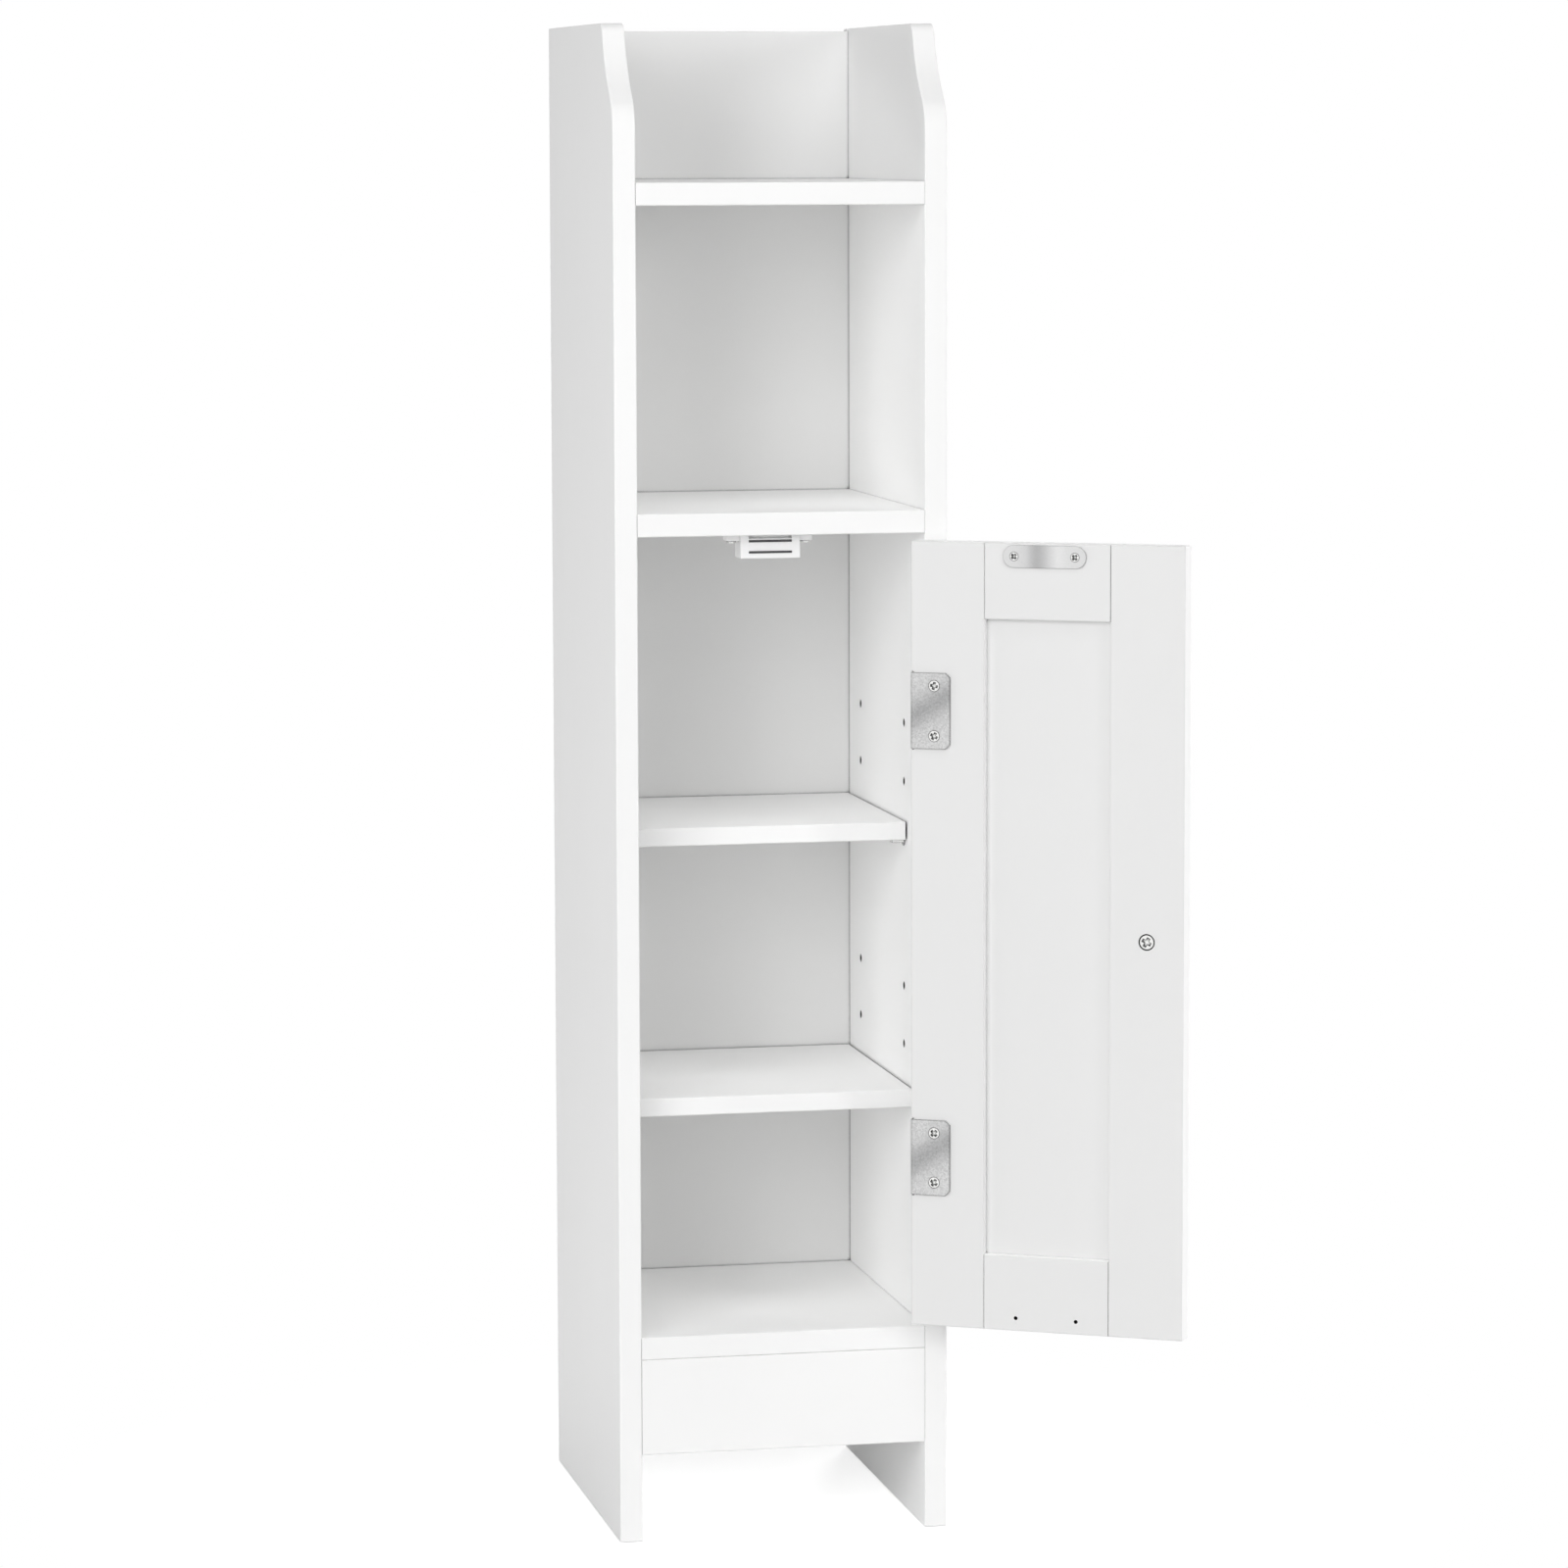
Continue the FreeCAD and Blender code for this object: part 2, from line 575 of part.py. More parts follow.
def shelf_pin():
    """Pattern of a spoon pin: a peg to the left, a collar against the side panel and a flat tongue."""
    body = new_body("shelf_pin")
    profile = new_sketch(body, "profile", "XY_Plane")
    peg = "(dims.pin_hole / 2 - dims.fit_clearance)"
    collar = "(dims.collar_diameter / 2)"
    corners = [("-dims.peg_length", "0"), ("dims.collar_thickness", "0"), ("dims.collar_thickness", collar)]
    corners += [("0", collar), ("0", peg), ("-dims.peg_length", peg)]
    polygon(profile, corners)
    revolve(body, profile, "H_Axis")
    tongue = new_sketch(body, "tongue", "XY_Plane", "dims.tongue_rise")
    half = "(dims.tongue_width / 2)"
    rectangle(tongue, "0", f"-{half}", "dims.tongue_length", half)
    pad(body, tongue, "dims.tongue_thickness", backwards=True)
    return body


def shelf_pins(node, pattern, row_z):
    spots = []
    for column in PIN_COLUMNS:
        spots.append((f"-{INNER_X}", f"{FRONT_Y} + {column}", row_z))
        spots.append((INNER_X, f"{FRONT_Y} + {column}", row_z, FACING_BACK))
    return group(node, pattern, spots)


def cam_bolt():
    """Pattern of a cam bolt along X: thread into the left side panel, shank, neck and head."""
    body = new_body("cam_bolt")
    profile = new_sketch(body, "profile", "XY_Plane")
    thread = "(dims.bolt_hole / 2 - dims.fit_clearance)"
    head_end = "(dims.cam_inset + dims.bolt_head_length / 2)"
    head_start = f"({head_end} - dims.bolt_head_length)"
    shank_end = f"({head_start} - dims.bolt_neck_length)"
    corners = [("-dims.bolt_thread_length", "0"), (head_end, "0"), (head_end, "dims.bolt_head / 2")]
    corners += [(head_start, "dims.bolt_head / 2"), (head_start, "dims.bolt_neck / 2")]
    corners += [(shank_end, "dims.bolt_neck / 2"), (shank_end, "dims.bolt_shank / 2")]
    corners += [("0", "dims.bolt_shank / 2"), ("0", thread), ("-dims.bolt_thread_length", thread)]
    polygon(profile, corners)
    revolve(body, profile, "H_Axis")
    return body


def cam_lock():
    """Pattern of a cam on its face, with a channel from the left for the bolt's head and a cross slot."""
    body = new_body("cam_lock")
    disc = new_sketch(body, "disc", "XY_Plane")
    circle(disc, "0", "0", "dims.cam_hole - 2 * dims.fit_clearance")
    pad(body, disc, "dims.cam_hole_depth - dims.fit_clearance")
    channel = new_sketch(body, "channel", "YZ_Plane", "dims.bolt_head_length")
    circle(channel, "0", "dims.board / 2", "dims.bolt_bore")
    pocket(body, channel, "dims.bolt_head_length + dims.cam_hole / 2 + dims.overrun")
    slot = new_sketch(body, "slot", "XY_Plane")
    cross(slot, "dims.cam_slot_span", "dims.cam_slot_width")
    pocket(body, slot, "dims.cam_slot_depth", backwards=True)
    return body


def dowel():
    """Pattern of a dowel along X: its short end goes into the left side panel."""
    body = new_body("dowel")
    profile = new_sketch(body, "profile", "XY_Plane")
    radius = "(dims.dowel_hole / 2 - dims.fit_clearance)"
    tip = f"({radius} - dims.dowel_chamfer)"
    start, end = "(-dims.dowel_in_side)", "(dims.dowel_length - dims.dowel_in_side)"
    corners = [(start, "0"), (end, "0"), (end, tip), (f"{end} - dims.dowel_chamfer", radius)]
    corners += [(f"{start} + dims.dowel_chamfer", radius), (start, tip)]
    polygon(profile, corners)
    revolve(body, profile, "H_Axis")
    return body


def flat_pack_joints():
    """The cam bolts, cams and dowels at both ends of the three fixed shelves and the plinth board."""
    bolts, cams, dowels = [], [], []
    plinth_y = f"{FRONT_Y} + dims.board / 2"
    plinth_bolt_z = "dims.toe_gap + dims.plinth_bolt_height"
    for side, turn in ((-1, UPRIGHT), (1, FACING_BACK)):
        end_x = f"{side} * {INNER_X}"
        cam_x = f"{side} * ({INNER_X} - dims.cam_inset)"
        for height in SHELF_MIDDLES:
            for depth in CAM_DEPTHS:
                bolts.append((end_x, f"{FRONT_Y} + {depth}", height, turn))
                cams.append((cam_x, f"{FRONT_Y} + {depth}", f"{height} - dims.board / 2", turn))
            dowels.append((end_x, f"{FRONT_Y} + {DOWEL_DEPTH}", height, turn))
        bolts.append((end_x, plinth_y, plinth_bolt_z, turn))
        cams.append((cam_x, f"{FRONT_Y} + dims.board", plinth_bolt_z, f"{INTO_FRONT} * {turn}"))
        dowels.append((end_x, plinth_y, "dims.toe_gap + dims.plinth_dowel_height", turn))
    return [
        group("cam_bolts", cam_bolt(), bolts),
        group("cam_locks", cam_lock(), cams),
        group("dowels", dowel(), dowels),
    ]


def cross_recess(body, top, head):
    """The driver's recess in a screw head of the given width, whose top is at the height given."""
    recess = new_sketch(body, "recess", "XY_Plane", top)
    cross(recess, f"(dims.recess_span_share * {head})", f"(dims.recess_width_share * {head})")
    pocket(body, recess, "dims.recess_depth", backwards=True)


def sheet_screw(node, shank_size, sheet):
    """Pattern of a raised countersunk screw pointing up, whose cone ends where the steel sheet does."""
    body = new_body(node)
    profile = new_sketch(body, "profile", "XZ_Plane")
    shank, rim = f"({shank_size} / 2)", f"({shank_size} / 2 + {sheet})"
    tip_start = "(dims.screw_length - dims.screw_tip)"
    crown = f"(-{sheet} - dims.screw_dome)"
    corners = [("0", crown), (shank, crown), (rim, f"-{sheet}"), (shank, "0"), (shank, tip_start)]
    corners += [("0", "dims.screw_length")]
    polygon(profile, corners)
    revolve(body, profile, "V_Axis")
    cross_recess(body, crown, f"(2 * {rim})")
    return body


def pan_screw():
    """Pattern of a pan-head screw pointing up, with its head below the face that it clamps."""
    body = new_body("pan_screw")
    profile = new_sketch(body, "profile", "XZ_Plane")
    shank, rim = "(dims.screw_shank / 2)", "(dims.pan_head / 2)"
    tip_start = "(dims.pan_screw_length - dims.screw_tip)"
    corners = [("0", "-dims.pan_head_height"), (rim, "-dims.pan_head_height"), (rim, "0"), (shank, "0")]
    corners += [(shank, tip_start), ("0", "dims.pan_screw_length")]
    polygon(profile, corners)
    revolve(body, profile, "V_Axis")
    dress(body, "Fillet", "dims.pan_head_round", lambda middle: near(middle.z, -size("pan_head_height")))
    cross_recess(body, "-dims.pan_head_height", "dims.pan_head")
    return body


def back_panel_screws(pattern):
    rear = f"{FRONT_Y} + {BACK_FACE} + dims.back_thickness"
    places = [(x, height) for height in SHELF_MIDDLES for x in BACK_SCREW_X]
    spots = [(x, rear, height, driven(INTO_FRONT, k)) for k, (x, height) in enumerate(places)]
    return group("back_panel_screws", pattern, spots)


def catch_housing():
    """Moulded housing: a box filled from behind, slotted at the front, and two ears under the shelf."""
    body = new_body("catch_housing")
    ears = new_sketch(body, "ears", "XY_Plane")
    half_span, half_width = "(dims.ear_span / 2)", "(dims.catch_width / 2)"
    rectangle(ears, f"-{half_span}", "dims.ear_setback", half_span, "dims.ear_setback + dims.ear_depth")
    pad(body, ears, "dims.ear_thickness", backwards=True)
    dress(body, "Fillet", "dims.ear_corner", lambda middle: near(middle.z, -size("ear_thickness") / 2))
    box = new_sketch(body, "box", "XY_Plane")
    rectangle(box, f"-{half_width}", "0", half_width, "dims.catch_depth")
    pad(body, box, "dims.catch_height", backwards=True)
    dress(body, "Fillet", "dims.edge_round", lambda middle: near(middle.z, -size("catch_height")))
    half_mouth = "(dims.mouth_width / 2)"
    floor, roof = "(-dims.mouth_top - dims.mouth_height)", "(-dims.mouth_top)"
    mouth = new_sketch(body, "mouth", "XZ_Plane", "-dims.catch_depth")
    rectangle(mouth, f"-{half_mouth}", floor, half_mouth, roof)
    pocket(body, mouth, "dims.catch_depth - dims.catch_web", backwards=True)
    slot_height = "(dims.pole_thickness + 2 * dims.fit_clearance)"
    slots = new_sketch(body, "slots", "XZ_Plane")
    rectangle(slots, f"-{half_mouth}", f"{roof} - {slot_height}", half_mouth, roof)
    rectangle(slots, f"-{half_mouth}", floor, half_mouth, f"{floor} + {slot_height}")
    pocket(body, slots, "dims.catch_web + dims.overrun")
    relief = new_sketch(body, "relief", "XZ_Plane")
    rectangle(relief, f"-{half_mouth}", "-dims.relief_height", half_mouth, "dims.overrun")
    pocket(body, relief, "dims.relief_depth")
    holes = new_sketch(body, "screw_holes", "XY_Plane")
    for x in CATCH_SCREW_X:
        circle(holes, x, CATCH_SCREW_DEPTH, SCREW_HOLE)
    pocket(body, holes, "dims.ear_thickness + dims.overrun")
    return place(body, "dims.catch_offset", CATCH_FACE_Y, MIDDLE_Z)


def in_mouth(piece, front, thickness, below):
    """Sets a block of the catch inside the housing, its top the given distance below the mouth's roof."""
    piece.setExpression("Length", "dims.mouth_width - 2 * dims.fit_clearance")
    piece.setExpression("Width", f"dims.mouth_depth - dims.fit_clearance - ({front})")
    piece.setExpression("Height", thickness)
    x = "dims.catch_offset - dims.mouth_width / 2 + dims.fit_clearance"
    top = f"{MIDDLE_Z} - dims.mouth_top - ({below})"
    return place(piece, x, f"{CATCH_FACE_Y} + ({front})", f"{top} - ({thickness})")


def catch_blocks():
    """The magnet and the two steel plates that lead its poles to the door's strike plate."""
    magnet_height = "(dims.mouth_height - 2 * dims.pole_thickness - 2 * dims.fit_clearance)"
    under_roof = "(dims.fit_clearance + dims.pole_thickness)"
    magnet = doc.addObject("Part::Box", "catch_magnet")
    in_mouth(magnet, "dims.catch_web + dims.fit_clearance", magnet_height, under_roof)
    plates = []
    for name, below in (("upper", "dims.fit_clearance"), ("lower", f"{under_roof} + {magnet_height}")):
        plate = doc.addObject("Part::Box", f"{name}_pole_plate")
        plates.append(in_mouth(plate, "-dims.pole_proud", "dims.pole_thickness", below))
    pair = doc.addObject("Part::Compound", "catch_pole_plates")
    pair.Links = plates
    return [magnet, pair]


def catch_screws(pattern):
    y = f"{CATCH_FACE_Y} + {CATCH_SCREW_DEPTH}"
    z = f"{MIDDLE_Z} - dims.ear_thickness"
    spots = [(f"dims.catch_offset + {x}", y, z, driven(UPRIGHT, k)) for k, x in enumerate(CATCH_SCREW_X)]
    return group("catch_screws", pattern, spots)


def add_knuckles(body, left, right, first, count):
    """Curled knuckles about the pin, each on a strap that leaves its leaf between left and right."""
    start = f"{first} * {KNUCKLE_PITCH}"
    strap = new_sketch(body, "strap", "XY_Plane", start)
    rectangle(strap, left, "0", right, STRAP_END)
    barrel = new_sketch(body, "barrel", "XY_Plane", start)
    circle(barrel, "0", "0", f"2 * {KNUCKLE_RADIUS}")
    curls = [pad(body, strap, KNUCKLE_LENGTH), pad(body, barrel, KNUCKLE_LENGTH)]
    pattern = body.newObject("PartDesign::LinearPattern", f"{body.Name}_knuckles")
    pattern.Originals = curls
    pattern.Direction = (barrel, ["N_Axis"])
    pattern.setExpression("Length", f"{count - 1} * 2 * {KNUCKLE_PITCH}")
    pattern.Occurrences = count
    body.Tip = pattern
    doc.recompute()
    bore = new_sketch(body, "bore", "XY_Plane")
    circle(bore, "0", "0", "dims.hinge_pin + 2 * dims.pin_clearance")
    pocket(body, bore, "dims.leaf_height + dims.overrun", backwards=True)


def countersink(body, plane, offset, spots, shank_size, sheet):
    """Countersunk screw holes through a steel sheet, wide end on the sketch's side."""
    width = f"({shank_size} + 2 * dims.fit_clearance)"
    sketch = new_sketch(body, "screw_holes", plane, offset)
    for spot in spots:
        circle(sketch, *spot, width)
    doc.recompute()
    before = body.Shape.Volume
    hole = body.newObject("PartDesign::Hole", f"{body.Name}_countersinks")
    hole.Profile = sketch
    hole.Reversed = True
    hole.ThreadType = "None"
    hole.DepthType = "ThroughAll"
    hole.HoleCutType = "Countersink"
    hole.HoleCutCustomValues = True
    hole.HoleCutCountersinkAngle = 90
    hole.setExpression("Diameter", width)
    hole.setExpression("HoleCutDiameter", f"{width} + 2 * {sheet}")
    doc.recompute()
    if body.Shape.Volume >= before:
        raise ValueError(f"{hole.Name} cuts nothing")


def frame_leaf(node, hinge_z):
    """The leaf on the right side panel's inner face, with the outer and middle knuckles, about the axis."""
    body = new_body(node)
    face = f"({KNUCKLE_RADIUS} - dims.leaf_sheet)"
    end = "(dims.hinge_projection + dims.leaf_width)"
    plate = new_sketch(body, "plate", "YZ_Plane", face)
    clipped = f"({end} - dims.leaf_corner)"
    corners = [(STRAP_END, "0"), (clipped, "0"), (end, "dims.leaf_corner")]
    corners += [(end, "dims.leaf_height - dims.leaf_corner"), (clipped, "dims.leaf_height")]
    corners += [(STRAP_END, "dims.leaf_height")]
    polygon(plate, corners)
    pad(body, plate, "dims.leaf_sheet")
    add_knuckles(body, face, KNUCKLE_RADIUS, 0, 3)
    screw_y = "dims.hinge_projection + dims.leaf_screw_setback"
    spots = [(screw_y, height) for height in LEAF_SCREW_HEIGHTS]
    countersink(body, "YZ_Plane", face, spots, "dims.leaf_screw_shank", "dims.leaf_sheet")
    return place(body, AXIS_X, AXIS_Y, hinge_z)


def door_leaf(node, hinge_z):
    """The leaf that wraps the door's edge onto its inner face, with the two inner knuckles."""
    body = new_body(node)
    edge = f"({KNUCKLE_RADIUS} - dims.door_gap)"
    inner = f"({edge} - dims.leaf_sheet)"
    far = f"({edge} - dims.leaf_width)"
    seat = "(dims.hinge_projection + dims.door_thickness)"
    back = f"({seat} + dims.leaf_sheet)"
    profile = new_sketch(body, "wrap", "XY_Plane")
    corners = [(inner, STRAP_END), (edge, STRAP_END), (edge, back), (far, back), (far, seat), (inner, seat)]
    polygon(profile, corners)
    pad(body, profile, "dims.leaf_height")
    edge_x = size("hinge_pin") / 2 + size("pin_clearance") + size("leaf_sheet") - size("door_gap")
    back_y = size("hinge_projection") + size("door_thickness") + size("leaf_sheet")
    far_x = edge_x - size("leaf_width")
    dress(body, "Fillet", "dims.leaf_sheet", lambda middle: near(middle.x, edge_x) and near(middle.y, back_y))

    def outer_corner(middle):
        return near(middle.x, far_x) and not near(middle.z, size("leaf_height") / 2)

    dress(body, "Chamfer", "dims.leaf_corner", outer_corner)
    add_knuckles(body, inner, edge, 1, 2)
    screw_x = f"{edge} - dims.leaf_screw_setback"
    spots = [(screw_x, height) for height in LEAF_SCREW_HEIGHTS]
    countersink(body, "XZ_Plane", f"-{back}", spots, "dims.leaf_screw_shank", "dims.leaf_sheet")
    return place(body, AXIS_X, AXIS_Y, hinge_z, on_door=True)


def hinge_pin(node, hinge_z):
    """A pin with a button head at each end, held by the frame leaf's knuckles."""
    body = new_body(node)
    profile = new_sketch(body, "profile", "XZ_Plane")
    shank, head = "(dims.hinge_pin / 2)", "(dims.pin_head / 2)"
    low, high = "(-dims.pin_head_length)", "(dims.leaf_height + dims.pin_head_length)"
    corners = [("0", low), (head, low), (head, "0"), (shank, "0"), (shank, "dims.leaf_height")]
    corners += [(head, "dims.leaf_height"), (head, high), ("0", high)]
    polygon(profile, corners)
    revolve(body, profile, "V_Axis")
    return place(body, AXIS_X, AXIS_Y, hinge_z)


def hinge_screws(pattern):
    """The screws of both frame leaves, into the side panel, and of both door leaves, into the stile."""
    frame_spots, door_spots = [], []
    frame_y = f"{FRONT_Y} + dims.leaf_screw_setback"
    door_x = f"{DOOR_EDGE_X} - dims.leaf_screw_setback"
    heights = [f"{hinge_z} + {height}" for hinge_z in HINGE_Z.values() for height in LEAF_SCREW_HEIGHTS]
    for k, height in enumerate(heights):
        frame_spots.append((INNER_X, frame_y, height, driven(INTO_RIGHT, k)))
        door_spots.append((door_x, DOOR_BACK_Y, height, driven(INTO_FRONT, k + 1)))
    return [
        group("hinge_frame_screws", pattern, frame_spots),
        group("hinge_door_screws", pattern, door_spots, on_door=True),
    ]


def on_door_face(middle):
    """Whether an edge of a stile or rail lies on the door's outer or inner face."""
    return near(middle.y, 0) or near(middle.y, size("door_thickness"))


def stile_body(node, side):
    """An upright of the door's frame, grooved along one edge; side is 1 at the hinges, -1 at the knob."""
    body = new_body(node)
    near_panel = f"(-{side} * dims.stile_width)"
    groove_floor = f"(-{side} * (dims.stile_width - dims.panel_groove))"
    groove_front = "(dims.panel_recess - dims.fit_clearance)"
    groove_back = "(dims.panel_recess + dims.panel_thickness + dims.fit_clearance)"
    section = new_sketch(body, "section", "XY_Plane")
    corners = [("0", "0"), ("0", "dims.door_thickness"), (near_panel, "dims.door_thickness")]
    corners += [(near_panel, groove_back), (groove_floor, groove_back), (groove_floor, groove_front)]
    corners += [(near_panel, groove_front), (near_panel, "0")]
    polygon(section, corners)
    pad(body, section, DOOR_HEIGHT)
    dress(body, "Fillet", "dims.edge_round", on_door_face)
    return body


def hinge_stile():
    """The stile that carries both door leaves: a shallow rebate in its edge and pilot holes for each."""
    body = stile_body("door_hinge_stile", 1)
    rebate = new_sketch(body, "rebates", "XZ_Plane")
    holes = new_sketch(body, "hinge_screw_holes", "XZ_Plane", "-dims.door_thickness")
    for hinge_z in HINGE_Z.values():
        low = f"{hinge_z} - {DOOR_Z} - dims.rebate_clearance"
        high = f"{hinge_z} - {DOOR_Z} + dims.leaf_height + dims.rebate_clearance"
        rectangle(rebate, "-dims.leaf_sheet", low, "dims.overrun", high)
        for height in LEAF_SCREW_HEIGHTS:
            circle(holes, "-dims.leaf_screw_setback", f"{hinge_z} - {DOOR_Z} + {height}", LEAF_SCREW_HOLE)
    pocket(body, rebate, "dims.door_thickness + dims.overrun")
    pocket(body, holes, "dims.screw_length + dims.fit_clearance", backwards=True)
    return place(body, DOOR_EDGE_X, FRONT_Y, DOOR_Z, on_door=True)


def free_stile():
    """The stile that carries the knob, with a counterbored hole for the knob's screw."""
    body = stile_body("door_free_stile", -1)
    spot = ("dims.stile_width / 2", KNOB_HEIGHT)
    bore = new_sketch(body, "knob_hole", "XZ_Plane", "dims.overrun")
    circle(bore, *spot, KNOB_SCREW_HOLE)
    pocket(body, bore, "dims.door_thickness + 2 * dims.overrun")
    seat = new_sketch(body, "counterbore", "XZ_Plane", "-dims.door_thickness")
    circle(seat, *spot, "dims.counterbore")
    pocket(body, seat, "dims.counterbore_depth", backwards=True)
    return place(body, f"{DOOR_EDGE_X} - {DOOR_WIDTH}", FRONT_Y, DOOR_Z, on_door=True)


def rail(node, side, hole_offset, hole_diameter, hole_depth):
    """A cross piece with a stub tongue at each end and a groove for the panel; side is 1 at the top.

    Its outer edge lies on the body's XY plane, and two screw holes in its inner face run along that edge.
    """
    body = new_body(node)
    tongue_height = f"(-{side} * (dims.rail_width - dims.panel_groove))"
    inner_edge = f"(-{side} * dims.rail_width)"
    groove_front = "(dims.panel_recess - dims.fit_clearance)"
    groove_back = "(dims.panel_recess + dims.panel_thickness + dims.fit_clearance)"
    section = new_sketch(body, "section", "YZ_Plane")
    corners = [("0", "0"), ("dims.door_thickness", "0"), ("dims.door_thickness", inner_edge)]
    corners += [(groove_back, inner_edge), (groove_back, tongue_height), (groove_front, tongue_height)]
    corners += [(groove_front, inner_edge), ("0", inner_edge)]
    polygon(section, corners)
    pad(body, section, RAIL_LENGTH, both_ways=True)
    dress(body, "Fillet", "dims.edge_round", on_door_face)
    tongue = new_sketch(body, "tongue", "YZ_Plane")
    rectangle(tongue, "dims.panel_recess", "0", "dims.panel_recess + dims.panel_thickness", tongue_height)
    pad(body, tongue, f"{RAIL_LENGTH} + 2 * (dims.panel_groove - dims.panel_clearance)", both_ways=True)
    holes = new_sketch(body, "screw_holes", "XZ_Plane", "-dims.door_thickness")
    for x in STRIKE_SCREW_X:
        circle(holes, f"{hole_offset} + {x}", f"-{side} * {STRIKE_HEIGHT}", hole_diameter)
    pocket(body, holes, hole_depth, backwards=True)
    height = DOOR_TOP if side > 0 else DOOR_Z
    return place(body, f"{DOOR_EDGE_X} - {DOOR_WIDTH} / 2", FRONT_Y, height, on_door=True)


def door_panel():
    """The thin panel that floats in the frame's grooves."""
    panel = doc.addObject("Part::Box", "door_panel")
    reach = "(dims.panel_groove - dims.panel_clearance)"
    panel.setExpression("Length", f"{RAIL_LENGTH} + 2 * {reach}")
    panel.setExpression("Width", "dims.panel_thickness")
    panel.setExpression("Height", f"{DOOR_HEIGHT} - 2 * dims.rail_width + 2 * {reach}")
    x = f"{DOOR_EDGE_X} - {DOOR_WIDTH} + dims.stile_width - {reach}"
    z = f"{DOOR_Z} + dims.rail_width - {reach}"
    return place(panel, x, f"{FRONT_Y} + dims.panel_recess", z, on_door=True)


def strike_plate():
    """A round-ended steel plate on the top rail's inner face, which the catch's poles pull."""
    body = new_body("strike_plate")
    half_flat = "((dims.strike_length - dims.strike_width) / 2)"
    half_width = "(dims.strike_width / 2)"
    middle = new_sketch(body, "middle", "XZ_Plane")
    rectangle(middle, f"-{half_flat}", f"-{half_width}", half_flat, half_width)
    pad(body, middle, "dims.strike_sheet", backwards=True)
    for name, side in (("left", -1), ("right", 1)):
        end = new_sketch(body, f"{name}_end", "XZ_Plane")
        circle(end, f"{side} * {half_flat}", "0", "dims.strike_width")
        pad(body, end, "dims.strike_sheet", backwards=True)
    spots = [(x, "0") for x in STRIKE_SCREW_X]
    countersink(body, "XZ_Plane", "-dims.strike_sheet", spots, "dims.screw_shank", "dims.strike_sheet")
    return place(body, STRIKE_X, DOOR_BACK_Y, f"{DOOR_TOP} - {STRIKE_HEIGHT}", on_door=True)


def strike_plate_screws(pattern):
    height = f"{DOOR_TOP} - {STRIKE_HEIGHT}"
    turn = driven(INTO_FRONT, 0)
    spots = [(f"{STRIKE_X} + {x}", DOOR_BACK_Y, height, turn) for x in STRIKE_SCREW_X]
    return group("strike_plate_screws", pattern, spots, on_door=True)


def door_knob():
    """A turned knob on the door's outer face: foot, waist and a domed head, threaded from behind."""
    body = new_body("door_knob")
    profile = new_sketch(body, "profile", "XZ_Plane")
    head, waist, foot = "(dims.knob_diameter / 2)", "(dims.knob_waist / 2)", "(dims.knob_base / 2)"
    rim_top = "(dims.knob_shoulder + dims.knob_rim)"
    corners = [("0", "0"), (foot, "0"), (waist, "dims.knob_foot"), (waist, "dims.knob_shoulder / 2")]
    corners += [(head, "dims.knob_shoulder"), (head, rim_top), (waist, "dims.knob_projection")]
    corners += [("0", "dims.knob_projection")]
    polygon(profile, corners)
    revolve(body, profile, "V_Axis")

    low_rim = size("knob_shoulder")
    high_rim = low_rim + size("knob_rim")

    def on_rim(middle):
        return near(middle.z, low_rim) or near(middle.z, high_rim)

    dress(body, "Fillet", "dims.knob_round", on_rim)
    thread = new_sketch(body, "thread_hole", "XY_Plane")
    circle(thread, "0", "0", KNOB_SCREW_HOLE)
    pocket(body, thread, "dims.knob_thread_depth", backwards=True)
    return place(body, KNOB_X, FRONT_Y, f"{DOOR_Z} + {KNOB_HEIGHT}", INTO_FRONT, on_door=True)


def knob_screw():
    """The machine screw through the free stile into the knob, its head in the counterbore."""
    body = new_body("knob_screw")
    profile = new_sketch(body, "profile", "XZ_Plane")
    shank, head = "(dims.knob_screw_shank / 2)", "(dims.knob_screw_head / 2)"
    end = "(dims.door_thickness - dims.counterbore_depth + dims.knob_screw_reach)"
    corners = [("0", "-dims.pan_head_height"), (head, "-dims.pan_head_height"), (head, "0"), (shank, "0")]
    corners += [(shank, end), ("0", end)]
    polygon(profile, corners)
    revolve(body, profile, "V_Axis")
    dress(body, "Fillet", "dims.pan_head_round", lambda middle: near(middle.z, -size("pan_head_height")))
    cross_recess(body, "-dims.pan_head_height", "dims.knob_screw_head")
    seat_y = f"{DOOR_BACK_Y} - dims.counterbore_depth"
    turn = driven(INTO_FRONT, 1)
    return place(body, KNOB_X, seat_y, f"{DOOR_Z} + {KNOB_HEIGHT}", turn, on_door=True)


